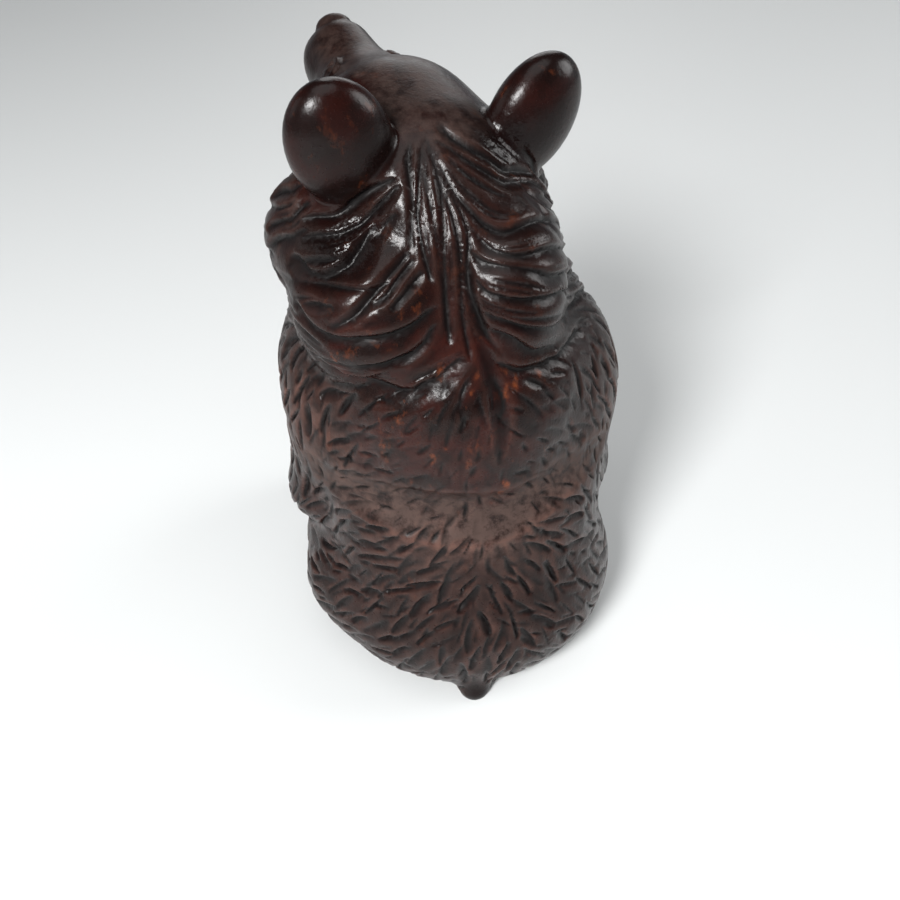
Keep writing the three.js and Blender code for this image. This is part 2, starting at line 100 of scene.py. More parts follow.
def angle(name, description, degrees):
    return bpy.props.FloatProperty(
        name=name, description=description, default=math.radians(degrees), unit="ROTATION", subtype="ANGLE"
    )


def colour(name, description, default):
    return bpy.props.StringProperty(name=name, description=description, default=default)


class BearSizes(bpy.types.PropertyGroup):
    height: length("Height", "From the floor to the tips of the ears", round(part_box(NODE)[1].z, 3))
    shoulder_width: length("Shoulders", "Width across the shoulders", 0.076)
    hip_width: length("Hips", "Width across the hips", 0.077)
    head_width: length("Head", "Width of the skull without the fur of the cheeks", 0.044)
    head_turn: angle("Head turn", "Turn of the head to the bear's left", 20)
    head_lift: angle("Head lift", "Muzzle above level", 21)
    head_tilt: angle("Head tilt", "Negative with the left ear the higher one", -3)
    muzzle_length: length("Muzzle length", "From the skull to the end of the nose", 0.028)
    muzzle_width: length("Muzzle width", "Width of the end of the muzzle", 0.015)
    ear_length: length("Ear length", "Length of an ear", 0.0265)
    ear_width: length("Ear width", "Width of an ear", 0.020)
    ear_thickness: length("Ear thickness", "Thickness of an ear at its thickest", 0.013)
    paw_width: length("Paw width", "Width of a forepaw", 0.020)
    foot_width: length("Foot width", "Width of a foot", 0.023)
    eye_width: length("Eye", "Width of an eyeball", 0.0048)
    nose_width: length("Nose", "Width of the leather of the nose", 0.0085)
    toe_width: length("Toe", "Width of a toe", 0.0049)
    claw_length: length("Claw length", "Length of a claw with its root", 0.0056)
    claw_width: length("Claw width", "Width of a claw at its root", 0.0038)
    tail_width: length("Tail", "Width of the stub of the tail", 0.009)
    toe_count: bpy.props.IntProperty(name="Toes", description="Toes of each paw and foot", default=5, min=2)
    skin_cell: length("Skin", "Edge of a cell of the skin before it is thinned", 0.00045)
    skin_facets: bpy.props.IntProperty(
        name="Facets", description="Triangles before the underside is cut flat", default=196000, min=10000
    )


class CoatSizes(bpy.types.PropertyGroup):
    fold_length: length("Fold length", "Length of a broad fold of the mane", 0.022)
    fold_width: length("Fold width", "Width of a broad fold of the mane", 0.0056)
    fold_depth: length("Fold depth", "Depth of a broad fold of the mane", 0.0014)
    groove_length: length("Groove length", "Length of a groove between two strands", 0.013)
    groove_width: length("Groove width", "Width of a groove between two strands", 0.0018)
    groove_depth: length("Groove depth", "Depth of a groove between two strands", 0.0007)
    mark_length: length("Mark length", "Length of a mark of the gouge on the body", 0.0062)
    mark_width: length("Mark width", "Width of a mark of the gouge on the body", 0.0026)
    mark_depth: length("Mark depth", "Depth of a mark of the gouge on the body", 0.0009)
    nick_length: length("Nick length", "Length of a nick of the corner of the gouge", 0.0034)
    nick_width: length("Nick width", "Width of a nick of the corner of the gouge", 0.0013)
    nick_depth: length("Nick depth", "Depth of a nick of the corner of the gouge", 0.00045)
    step_depth: length("Step depth", "Depth of the step below a lock of the mane", 0.0019)
    scallop_width: length("Scallop width", "Width of a notch in the lower edge", 0.0046)
    scallop_depth: length("Scallop depth", "Depth of a notch in the lower edge", 0.0019)


class BearColours(bpy.types.PropertyGroup):
    # Nearly black: stain and old wax lying in the cuts, and painted shade in them; the thick wax takes it too
    recess: colour("Recess", "Stain and old wax lying in the cuts", "#060303")
    stain: colour("Stain", "Stained wood under wax", "#100706")
    red: colour("Red brown", "Wood showing red through the stain", "#270c08")
    worn: colour("Worn", "Bare wood where the stain is worn off", "#68341b")
    dust: colour("Dust", "Grey brown film of dust on dull wood", "#453631")
    edge: colour("Edge", "Edges of the cuts, where the stain is rubbed off", "#67483f")


class StageLooks(bpy.types.PropertyGroup):
    floor_colour: colour("Floor", "Pale table top", "#c9cbcb")
    wall_colour: colour("Walls", "Pale walls of the room", "#e6ecf2")
    lens: bpy.props.FloatProperty(
        name="Lens", description="Focal length", default=36.8, min=1.0, unit="CAMERA"
    )


GROUPS = {
    "bear_sizes": BearSizes,
    "coat_sizes": CoatSizes,
    "bear_colours": BearColours,
    "bear_stage": StageLooks,
}


# Rounded masses. Each knows how far a point lies outside it and how it is blocked out.


def turned(turn):
    return Euler([math.radians(t) for t in turn], "XYZ").to_matrix()


class Egg:
    """An ellipsoid, turned about X, then Y, then Z, in a frame of its own"""

    def __init__(self, centre, radii, turn=(0, 0, 0), pose=None):
        pose = pose or Matrix.Identity(4)
        self.centre = np.array(pose @ Vector(centre))
        self.turn = pose.to_3x3() @ turned(turn)
        self.radii = np.array(radii, float)
        self.axes = np.array(self.turn)
        self.reach = self.radii.max()

    def distance(self, points):
        shares = ((points - self.centre) @ self.axes) / self.radii
        near = np.sqrt((shares**2).sum(1))
        steep = np.sqrt(((shares / self.radii) ** 2).sum(1))
        return near * (near - 1) / np.maximum(steep, 1e-6)

    def block_out(self):
        bpy.ops.mesh.primitive_uv_sphere_add(
            segments=40,
            ring_count=20,
            radius=MM,
            location=Vector(self.centre) * MM,
            rotation=self.turn.to_euler(),
            scale=self.radii,
        )


class Limb:
    """A limb with round ends, from one radius to another"""

    def __init__(self, start, end, start_radius, end_radius, pose=None):
        pose = pose or Matrix.Identity(4)
        self.start = np.array(pose @ Vector(start))
        self.end = np.array(pose @ Vector(end))
        self.radii = (start_radius, end_radius)
        self.centre = (self.start + self.end) / 2
        self.reach = np.linalg.norm(self.end - self.start) / 2 + max(self.radii)

    def distance(self, points):
        along = self.end - self.start
        share = np.clip(((points - self.start) @ along) / (along @ along), 0, 1)
        gap = points - self.start - share[:, None] * along
        return np.sqrt((gap**2).sum(1)) - (self.radii[0] + share * (self.radii[1] - self.radii[0]))

    def block_out(self):
        for place, radius in zip((self.start, self.end), self.radii):
            bpy.ops.mesh.primitive_uv_sphere_add(
                segments=32, ring_count=16, radius=radius * MM, location=Vector(place) * MM
            )
        along = Vector(self.end - self.start)
        bpy.ops.mesh.primitive_cone_add(
            vertices=32,
            radius1=self.radii[0] * MM,
            radius2=self.radii[1] * MM,
            depth=along.length * MM,
            location=Vector(self.centre) * MM,
            rotation=along.to_track_quat("Z", "Y").to_euler(),
        )


class Cup:
    """A mass with a hollow cut out of it"""

    def __init__(self, mass, hollow, fillet):
        self.mass = mass
        self.hollow = hollow
        self.fillet = fillet
        self.centre = mass.centre
        self.reach = mass.reach

    def distance(self, points):
        return -blended(-self.mass.distance(points), self.hollow.distance(points), self.fillet)

    def block_out(self):
        self.mass.block_out()


def blended(a, b, fillet):
    """Two distances joined, with a fillet of about the given radius"""
    mix = np.maximum(fillet - np.abs(a - b), 0) / fillet
    return np.minimum(a, b) - mix * mix * fillet / 4


class Bear:
    """The masses of the bear, from its sizes. Places are percent of its height."""

    def __init__(self, sizes):
        for name in sizes.__annotations__:
            value = getattr(sizes, name)
            setattr(self, name, value if name in ANGLES + COUNTS else value / MM)
        self.percent = self.height / 100
        lift = Euler((-self.head_lift, self.head_tilt, self.head_turn), "XYZ")
        self.head_pose = Matrix.Translation(self.at(3.2, -8, 81)) @ lift.to_matrix().to_4x4()
        self.nose_end = -self.head_width / 2 - self.muzzle_length
        # From the middle of the body to the middle of a leg, with its foot and the paw on its knee
        self.leg_spread = self.hip_width / 2 - self.size(9.7)
        self.masses = []
        self.add_torso()
        self.add_mane()
        self.add_head()
        for side in SIDES:
            self.add_arm(side)
            self.add_leg(side)
            for toe in self.toe_frames(side):
                self.add_toe(toe)
        tail = Limb(self.at(-0.5, 18, 6), self.at(-0.5, 20, 1), self.tail_width / 2, self.tail_width / 2.2)
        self.add(tail, self.size(2))
        self.add_face()

    def at(self, x, y, z):
        return Vector((x, y, z)) * self.percent

    def size(self, share):
        return share * self.percent

    def add(self, mass, fillet):
        self.masses.append((mass, fillet))

    def add_torso(self):
        at, size = self.at, self.size
        hips, shoulders = self.hip_width, self.shoulder_width
        # Rump, lower back and belly
        self.add(Egg(at(-2, 0.3, 12), (hips / 2, size(23), size(20))), 1)
        self.add(Egg(at(-1.4, 0, 34), (hips * 0.444, size(18.5), size(22))), size(10))
        self.add(Egg(at(0, -9, 27), (hips * 0.33, size(16), size(17))), size(7))
        # Upper back, chest and neck
        self.add(Egg(at(0, 0, 55), (shoulders * 0.385, size(16), size(17)), (14, 0, 0)), size(8))
        self.add(Egg(at(0, -12, 54), at(14, 10.5, 16), (-8, 0, 0)), size(8))
        self.add(Limb(at(0, 0, 58), at(1, -4, 76), size(16.5), size(14)), size(7))
        # Fur from the sides of the neck to the shoulders, then the shoulders
        left_lock = (shoulders * 0.345, size(-6), size(57))
        right_lock = (shoulders * -0.286, size(-5), size(57))
        self.add(Limb(at(11.5, -3, 76), left_lock, size(9.5), size(8)), size(4))
        self.add(Limb(at(-6, -5, 76), right_lock, size(8.5), size(8)), size(4))
        for side in SIDES:
            centre = (side * (shoulders / 2 - size(10)), size(-2), size(48.5))
            self.add(Egg(centre, (size(10), size(11), size(15)), (10, side * 6, 0)), size(5))

    def add_mane(self):
        """The left lobe, then the right one"""
        at, size = self.at, self.size
        self.add(Egg(at(10.5, 1, 70), at(12.5, 12.5, 13)), size(1.6))
        self.add(Egg(at(-5.5, 1.5, 72), at(9.5, 12.5, 13)), size(1.6))

    def add_head(self):
        at, size, pose = self.at, self.size, self.head_pose
        muzzle = self.muzzle_width / 2
        nose_tip = (0, self.nose_end + muzzle, size(-1.4))
        chin = (0, self.nose_end + muzzle * 1.3, size(-5.8))
        skull = (self.head_width / 2, size(16.5), size(12.7))
        # Skull, brow and the root of the muzzle
        self.add(Egg(at(0, 0, 0), skull, pose=pose), 1)
        self.add(Egg(at(0, -11, 2.3), at(10.8, 8.6, 7.9), pose=pose), size(4))
        self.add(Egg(at(0, -15.5, -3.6), at(9.8, 9.8, 8.4), pose=pose), size(4))
        # Bridge of the nose, lower jaw and the fur of the cheeks
        self.add(Limb(at(0, -17, -0.8), nose_tip, muzzle * 1.25, muzzle, pose), size(3))
        self.add(Limb(at(0, -12, -7), chin, muzzle * 1.35, muzzle * 0.74, pose), size(1.2))
        self.add(Egg(at(12.4, -1, -6.5), at(9.2, 9.5, 10.5), (0, 12, 0), pose), size(3))
        self.add(Egg(at(-12.6, -2, -6.5), at(8.7, 9.5, 10.5), (0, -12, 0), pose), size(3))
        for side in SIDES:
            lip = (side * muzzle * 0.36, self.nose_end + muzzle * 1.2, size(-3))
            self.add(Egg(lip, (muzzle * 0.74, muzzle * 1.3, muzzle * 0.8), pose=pose), size(1.2))
            self.add(self.ear(side), size(1.2))

    def ear(self, side):
        middle = self.at(side * 13.4, side * -0.6, 10.5)
        turn = (14, side * 24, 0)
        radii = (self.ear_width / 2, self.ear_thickness / 2, self.ear_length / 2)
        cup_middle = middle + Vector((side * self.size(0.8), -self.ear_thickness * 0.62, self.size(1.5)))
        cup_radii = (self.ear_width * 0.33, self.ear_thickness * 0.5, self.ear_length * 0.36)
        cup = Egg(cup_middle, cup_radii, turn, self.head_pose)
        return Cup(Egg(middle, radii, turn, self.head_pose), cup, self.size(0.8))

    def paw_pose(self, side):
        turn = turned((20, 0, side * -8)).to_4x4()
        return Matrix.Translation((side * self.leg_spread, self.size(-25.5), self.size(27))) @ turn

    def foot_pose(self, side):
        turn = turned((-12, 0, side * 6)).to_4x4()
        return Matrix.Translation((side * self.leg_spread, self.size(-32.5), self.size(8.5))) @ turn

    def add_arm(self, side):
        size = self.size
        shoulder = (side * (self.shoulder_width / 2 - size(8.5)), size(-3), size(50))
        elbow = (side * (self.shoulder_width / 2 - size(4.9)), size(-5), size(30))
        wrist = (side * (self.leg_spread + size(0.5)), size(-20.5), size(28))
        self.add(Limb(shoulder, elbow, size(8.5), size(6.8)), size(3))
        self.add(Limb(elbow, wrist, size(6.6), size(5.4)), size(2.5))
        paw = (self.paw_width / 2, size(7.5), size(4.8))
        self.add(Egg((0, 0, 0), paw, pose=self.paw_pose(side)), size(2))

    def add_leg(self, side):
        size = self.size
        hip = (side * (self.hip_width / 2 - size(11.5)), 0, size(13))
        knee = (side * (self.leg_spread + size(0.5)), size(-20), size(16.5))
        ankle = (side * (self.leg_spread - size(0.5)), size(-28), size(6.5))
        self.add(Limb(hip, knee, size(12.5), size(9)), size(3))
        self.add(Limb(knee, ankle, size(8.5), size(6.5)), size(3))
        foot = (self.foot_width / 2, size(5), size(9.4))
        self.add(Egg((0, 0, 0), foot, pose=self.foot_pose(side)), size(2))

    def toe_frames(self, side):
        """Frames across the end of a paw and over the top of a foot, each with its claw along -Y"""
        frames = []
        for n in range(self.toe_count):
            share = 2 * n / (self.toe_count - 1) - 1
            across = share * (self.paw_width - self.toe_width) / 2
            ahead = self.size(6.6) * math.sqrt(1 - (across / (self.paw_width / 2)) ** 2)
            frames.append(self.paw_pose(side) @ Matrix.Translation((across, -ahead, -self.size(0.8))))
            lean = math.radians(42 * share)
            middle = Vector((
                math.sin(lean) * (self.foot_width / 2 + self.size(0.6)),
                -self.size(2),
                math.cos(lean) * self.size(8.8),
            ))
            turn = Euler((math.radians(-50), lean * 0.3, 0), "XYZ").to_matrix().to_4x4()
            frames.append(self.foot_pose(side) @ Matrix.Translation(middle) @ turn)
        return frames

    def add_toe(self, pose):
        """A toe and its claw, which bends down halfway"""
        width, claw = self.toe_width, self.claw_length
        self.add(Egg((0, 0, 0), (width / 2, width * 0.7, width * 0.55), pose=pose), self.size(0.35))
        root = (0, -width * 0.62 + claw * 0.27, claw * 0.12)
        knuckle = (0, -width * 0.62 - claw * 0.25, claw * 0.02)
        tip = (0, -width * 0.62 - claw * 0.58, claw * -0.3)
        self.add(Limb(root, knuckle, self.claw_width * 0.46, self.claw_width * 0.36, pose), 0.3)
        self.add(Limb(knuckle, tip, self.claw_width * 0.36, self.claw_width * 0.17, pose), 0.3)

    def add_face(self):
        """The leather of the nose, and two eyes, each between an upper and a lower lid"""
        width = self.nose_width
        nose = (0, self.nose_end + width * 0.26, self.size(0.6))
        self.add(Egg(nose, (width / 2, width * 0.36, width * 0.4), (-12, 0, 0), self.head_pose), 0.4)
        for side in SIDES:
            place = np.array([self.head_pose @ self.at(side * 6.2, -21, 3.6)])
            on_skin, outward = self.settled(place, 12, 30)
            out = Vector(outward[0])
            across = (self.head_pose.to_3x3() @ Vector((side, 0.9, 0))).cross(out).cross(out).normalized()
            up = out.cross(across)
            up *= math.copysign(1, up.z)
            sunk = self.eye_width * 0.28
            radius = self.eye_width / 2
            middle = Vector(on_skin[0]) - sunk * out
            self.add(Egg(middle, (radius, radius, radius)), 0.15)
            for rise, thickness in ((0.82, 0.13), (-0.8, 0.1)):
                lid = []
                for turn in np.linspace(0, math.pi, 9):
                    u, v = 1.5 * radius * math.cos(turn), rise * radius * math.sin(turn)
                    lift = math.sqrt(max(radius**2 - u * u - v * v, sunk**2))
                    lid.append(middle + u * across + v * up + lift * out)
                for start, end in zip(lid, lid[1:]):
                    self.add(Limb(start, end, thickness * radius * 2, thickness * radius * 2), 0.35)

    def distance(self, points, margin):
        """How far points lie outside the joined masses. Only the masses near a block of points count."""
        result = np.empty(len(points))
        cells = np.floor(points / BLOCK).astype(np.int64) + BLOCKS // 2
        keys = (cells[:, 0] * BLOCKS + cells[:, 1]) * BLOCKS + cells[:, 2]
        order = np.argsort(keys, kind="stable")
        edges = np.flatnonzero(np.diff(keys[order])) + 1
        for rows in np.split(order, edges):
            block = points[rows]
            middle = (block.min(0) + block.max(0)) / 2
            spread = np.linalg.norm(block.max(0) - middle)
            total = None
            for mass, fillet in self.masses:
                if np.linalg.norm(middle - mass.centre) > mass.reach + spread + fillet + margin:
                    continue
                there = mass.distance(block)
                total = there if total is None else blended(total, there, fillet)
            result[rows] = margin if total is None else total
        return result

    def settled(self, points, rounds, margin):
        """Points moved onto the surface, and the way out of it at each"""
        tiny = 0.03  # the step in which the slope is taken
        longest = 4  # the longest move of a round
        flattest = 0.2  # the least square of a slope that counts
        for _ in range(rounds):
            here = self.distance(points, margin)
            slope = np.stack(
                [(self.distance(points + tiny * axis, margin) - here) / tiny for axis in np.eye(3)], 1
            )
            steep = np.maximum((slope**2).sum(1), flattest)
            points = points - slope * np.clip(here / steep, -longest, longest)[:, None]
        return points, slope / np.linalg.norm(slope, axis=1, keepdims=True).clip(1e-6)


# The coat


# Each row is a place, the way in which the hair runs there and how far that is felt, in percent
# of the height. The rows of EVEN_GUIDES count on both sides, and end with whether they are in the
# frame of the head.
EVEN_GUIDES = (
    # Front of the head, in the frame of the head
    ((20, -2, -6), (0.5, -0.8, -0.4), 9, True),
    ((10, -14, -6), (0.5, 0.6, -0.8), 7, True),
    ((0, -8, -14), (0.1, 0.2, -1), 8, True),
    # Flanks, arms and legs
    ((26, -2, 18), (0.1, -1, -0.3), 10, False),
    ((26, -2, 54), (0.1, -0.3, -1), 8, False),
    ((26, -5, 38), (0, -0.2, -1), 9, False),
    ((18, -15, 30), (-0.1, -1, -0.2), 7, False),
    ((18, -16, 18), (0.1, -1, -0.1), 9, False),
    ((16, -28, 10), (0, -0.3, -1), 6, False),
    # Chest and belly
    ((0, -22, 64), (0.05, -0.1, -1), 9, False),
    ((12, -16, 58), (-0.3, -0.2, -1), 9, False),
    ((0, -25, 36), (0.1, 0, -1), 9, False),
    ((12, -20, 30), (0.6, 0, -0.7), 8, False),
)
# These rows count as they stand: the mane parts at the crown and falls in two uneven lobes. Most
# were picked on the photo and cast onto the solid, and the rest set one by one.
UNEVEN_GUIDES = (
    # Crown and the strands down the neck
    ((5, 2, 88), (-0.3, 1, -1), 5),
    ((5, 7, 82), (0, 0.7, -1), 5),
    ((1, 10, 78), (0, 0.5, -1), 5),
    ((-1, 3, 87), (-0.6, 0.9, -1), 4),
    ((-2, 7, 83), (-0.2, 1, -0.9), 4),
    # Right lobe
    ((-8, -4, 88), (-1, -0.2, -0.8), 5),
    ((-5, 6, 84), (-0.7, 0.8, -0.9), 4),
    ((-8, 9, 81), (-1, 0.3, -0.7), 5),
    ((-5, 11, 77), (-0.7, 0.5, -1), 4),
    ((-12, 7, 73), (-1, -0.6, -0.7), 5),
    ((-2, 13, 73), (-0.4, 0.3, -1), 4),
    ((-9, 12, 67), (-1, -0.3, -0.6), 5),
    ((-17, 0, 72), (-0.3, -1, -0.4), 7),
    # Left lobe
    ((12, 4, 84), (1, 0.2, -0.8), 4),
    ((10, 7, 82), (1, 0.4, -0.7), 4),
    ((17, 5, 79), (1, -0.5, -0.6), 5),
    ((9, 11, 77), (1, 0.3, -0.4), 4),
    ((17, 9, 75), (1, -0.6, -0.1), 5),
    ((8, 12, 71), (1, 0.1, -0.5), 4),
    ((15, 10, 70), (1, -0.5, 0.05), 5),
    ((4, 14, 67), (0.9, 0.2, -1), 4),
    ((21, 0, 81), (0.5, 0.1, -1), 4),
    ((21, -2, 71), (0.2, -1, -0.2), 7),
    # Shoulders and back
    ((13, 11, 61), (1, -0.6, -0.5), 6),
    ((23, 2, 55), (0.2, 0.1, -1), 6),
    ((-20, 5, 51), (-0.3, 0, -1), 8),
    ((1, 17, 55), (0.1, 0, -1), 6),
    ((12, 12, 52), (0.9, -0.6, -0.7), 7),
    ((-12, 14, 51), (-0.9, -0.5, -0.9), 7),
    # Rump, from a centre on the lower back
    ((-2, 19, 34), (0, 0.2, -1), 4),
    ((5, 17, 32), (0.8, -0.1, -1), 5),
    ((15, 11, 32), (0.9, -0.7, -0.6), 7),
    ((10, 18, 19), (0.7, -0.2, -0.9), 6),
    ((21, 9, 16), (0.7, -0.6, -0.6), 7),
    ((-11, 16, 32), (-0.9, -0.3, -0.7), 6),
    ((-12, 18, 22), (-0.8, -0.1, -0.9), 6),
    ((-1, 22, 15), (0.1, 0.1, -1), 4),
    ((-20, 12, 20), (-0.7, -0.4, -0.6), 7),
)


def coat_guides(bear):
    """Places, ways and reaches of the guides in millimetres"""
    rows = [(place, way, reach, False) for place, way, reach in UNEVEN_GUIDES]
    for place, way, reach, on_head in EVEN_GUIDES:
        for side in SIDES:
            mirrored = [(side * x, y, z) for x, y, z in (place, way)]
            rows.append((mirrored[0], mirrored[1], reach, on_head))
    for place, way, reach, on_head in rows:
        pose = bear.head_pose if on_head else Matrix.Identity(4)
        direction = (pose.to_3x3() @ Vector(way)).normalized()
        yield np.array(pose @ bear.at(*place)), np.array(direction), bear.size(reach)


# Locks of the mane: rows of places in percent of the height. Each row is the groove below one
# lock, and strands run between one row and the next. The places of the locks and of the single
# cuts were picked on the photo, cast onto the solid and rounded, and some were moved one by one.
CENTRE_LOCKS = (
    ((5.5, -1, 91.5), (6.5, 1.5, 89), (6.5, 4, 86), (6.5, 7, 81)),
    ((4.5, -1, 91.5), (5, 2.5, 88), (5.5, 5, 84.5), (5, 9.5, 78)),
    ((4, -1, 91.5), (4, 3, 88), (3.5, 6.5, 84), (3.5, 10.5, 76.5)),
    ((4, -1, 91.5), (3, 3.5, 87.5), (2.5, 6.5, 84), (2.5, 8.5, 80), (3, 11, 74), (2.5, 13, 70)),
    ((3.5, -1, 91.5), (2.5, 3.5, 87.5), (1, 6.5, 83.5), (1, 9, 78.5), (1, 12, 72.5), (0.5, 13.5, 68)),
    ((3, -1, 91.5), (1.5, 3.5, 87), (-0.5, 6.5, 83), (-0.5, 9.5, 78.5), (-0.5, 12, 72.5), (-1.5, 14, 67)),
)
RIGHT_LOCKS = (
    ((2.5, -3.5, 92.5), (1, -2, 91), (-1.5, 0, 89.5), (-4, 0.5, 88), (-6, 0.5, 86.5), (-11, -3, 84.5)),
    ((3, -1, 91.5), (0.5, 0.5, 89.5), (-2, 1.5, 88), (-5, 2.5, 86), (-10, -1.5, 84), (-14, -2.5, 80)),
    (
        (3.5, 1, 90), (2, 4, 87), (-0.5, 6, 84.5), (-3, 8, 82.5),
        (-6, 8.5, 82.5), (-11, 4, 81.5), (-15, -1, 78),
    ),
    (
        (2, 5, 86), (0.5, 7, 83.5), (-1.5, 9, 81.5), (-4, 10, 80),
        (-7, 10.5, 80), (-11, 8.5, 79.5), (-15.5, 1, 75.5),
    ),
    ((0, 8, 81.5), (-1, 9.5, 80), (-4, 10.5, 79.5), (-7, 11.5, 78.5), (-11, 10.5, 76.5), (-16, 2, 72.5)),
    ((-0.5, 9.5, 79), (-1.5, 11.5, 77), (-5, 12.5, 76), (-9, 11.5, 75), (-12.5, 9, 74), (-15.5, 4, 70.5)),
    ((0, 10.5, 76.5), (-1, 12, 74), (-4, 14, 73), (-8, 12.5, 71), (-14.5, 6, 67.5)),
    ((0, 11, 75), (-1.5, 12.5, 71), (-4.5, 14, 70), (-8, 13, 67), (-12, 10, 66)),
)
EAR_LOCKS = (
    ((7.5, 2.5, 88.5), (11.5, 3, 85.5), (16, 2.5, 84), (20.5, 0.5, 82.5)),
    ((7, 3.5, 87.5), (11, 4.5, 84.5), (15.5, 4.5, 82), (21, 2, 80.5)),
    ((7.5, 5, 85.5), (12.5, 7, 81), (16.5, 6, 79), (22, 1.5, 76)),
)
TUFT_LOCKS = (
    ((19.5, -3.5, 85.5), (21.5, -3.5, 84), (23.5, -7, 81)),
    ((19, 0, 84), (21.5, -0.5, 82), (24, -3.5, 79)),
    ((19.5, 2, 82), (21.5, 1.5, 80), (24, -3.5, 76)),
)
# For each set: the kind of its grooves, their width in percent of the height, their share of the
# step depth, the strands between two rows, and the share of the row where the strands end
MANE = (
    (CENTRE_LOCKS, "sharp", 1.7, 0.62, 2, 1.0),
    (RIGHT_LOCKS, "lapped", 3.4, 0.8, 3, 0.8),
    (EAR_LOCKS, "lapped", 3.4, 0.75, 3, 1.0),
    (TUFT_LOCKS, "lapped", 3.8, 0.8, 2, 1.0),
)
# Single cuts: kind, width in percent of the height, share of the step depth, and the places in
# percent of the height. The waist comes last, because carve_coat takes it for the place of the dust.
SINGLE_CUTS = (
    # Along the back of the neck between the two lobes
    ("round", 3.6, 0.75, ((-1, 12, 73), (-2, 14, 68), (-3, 15, 64), (-3.5, 17, 58), (-3.5, 18, 54))),
    # The parting beside the right lobe
    ("sharp", 3.0, 0.9, ((0, 8.5, 80.5), (0, 10, 77.5), (-0.5, 12, 74.5), (-2, 13, 71), (-3.5, 13.5, 69))),
    # The left lobe: a deep cut below the ear, grooves side by side between two polished swells,
    # then a broad pleat and its fringe
    ("lapped", 6.5, 1.5, (
        (21, 1.5, 77), (20, 4.5, 76), (18, 7.5, 77), (15, 8, 78.5), (13, 7.5, 81), (10.5, 5, 83),
    )),
    ("sharp", 2.4, 0.85, ((7, 7, 80.5), (9.5, 9, 79), (12, 10.5, 77), (14.5, 11, 74.5), (17.5, 10, 72.5))),
    ("sharp", 1.9, 0.7, ((6.5, 7.5, 80), (8.5, 9.5, 79), (10.5, 11, 77), (14, 11, 75.5))),
    ("sharp", 1.9, 0.7, ((5.5, 9, 79), (7.5, 10.5, 77.5), (10, 11.5, 75.5))),
    ("lapped", 2.6, 0.7, ((21, 7, 74), (19.5, 8.5, 74.5), (17, 9.5, 75))),
    ("sharp", 1.3, 0.35, ((22, 4, 73.5), (19.5, 7.5, 75.5), (16.5, 9, 76))),
    ("lapped", 4.6, 0.85, (
        (4, 11, 74.5), (6, 12, 73), (8, 12.5, 72), (11, 12.5, 71),
        (13.5, 12.5, 71), (16, 11.5, 70.5), (20, 8, 71), (22, 5, 73),
    )),
    ("sharp", 2.3, 0.75, ((4.5, 12, 73), (6, 12.5, 70.5), (8, 13.5, 69), (11, 13, 68), (14.5, 12, 67.5))),
    ("sharp", 1.8, 0.45, ((9.5, 13, 64), (4.5, 13.5, 67), (1, 13.5, 69.5))),
    # The lower edges of the two lobes
    ("lapped", 5.5, 1.0, ((1, 14, 68), (4.5, 15, 65), (8.5, 14, 62.5), (12.5, 11.5, 62.5), (19, 7, 66))),
    ("lapped", 5.0, 0.9, ((-16, 4, 63), (-11, 12, 63.5), (-6, 13.5, 64), (-2.5, 14, 67))),
    # The waist, where the back stands over the rump
    ("round", 11, 1.0, (
        (23, 4.5, 45), (19, 8, 43), (14, 11.5, 42), (9, 14.5, 42), (2, 16.5, 41.5),
        (-4, 17, 41), (-9, 15.5, 42), (-14, 12.5, 44), (-22, 6.5, 44),
    )),
)
# Cuts of the face in the frame of the head, also made on the other side
FACE_CUTS = (
    # The mouth, from below the nose back to the cheek
    ("sharp", 1.4, 0.5, (
        (0, -31, -6.4), (3.2, -29, -6.6), (4.8, -26, -6.2), (6.4, -23, -5.9), (8.5, -19.5, -6),
    )),
    # From the nose down to the mouth
    ("sharp", 1.2, 0.35, ((0, -34, -2), (0, -33, -6.2))),
    # Nostril
    ("round", 1.2, 0.7, ((1.1, -34.6, 0.2), (1.7, -34.4, 0.7), (2.3, -33.6, 1.1))),
)
# Cuts of a sole in the frame of the foot: round the pad below the toes, and round the heel
SOLE_CUTS = (
    ("sharp", 1.3, 0.35, (
        (-5.6, -4, 2.6), (-3.6, -4.6, 5.4), (0, -5, 6.3), (3.6, -4.6, 5.4), (5.6, -4, 2.6),
    )),
    ("sharp", 1.3, 0.35, (
        (-5.9, -4, 1.4), (-3.4, -5, -0.6), (0, -5, -0.9), (3.4, -5, -0.6), (5.9, -4, 1.4),
    )),
)


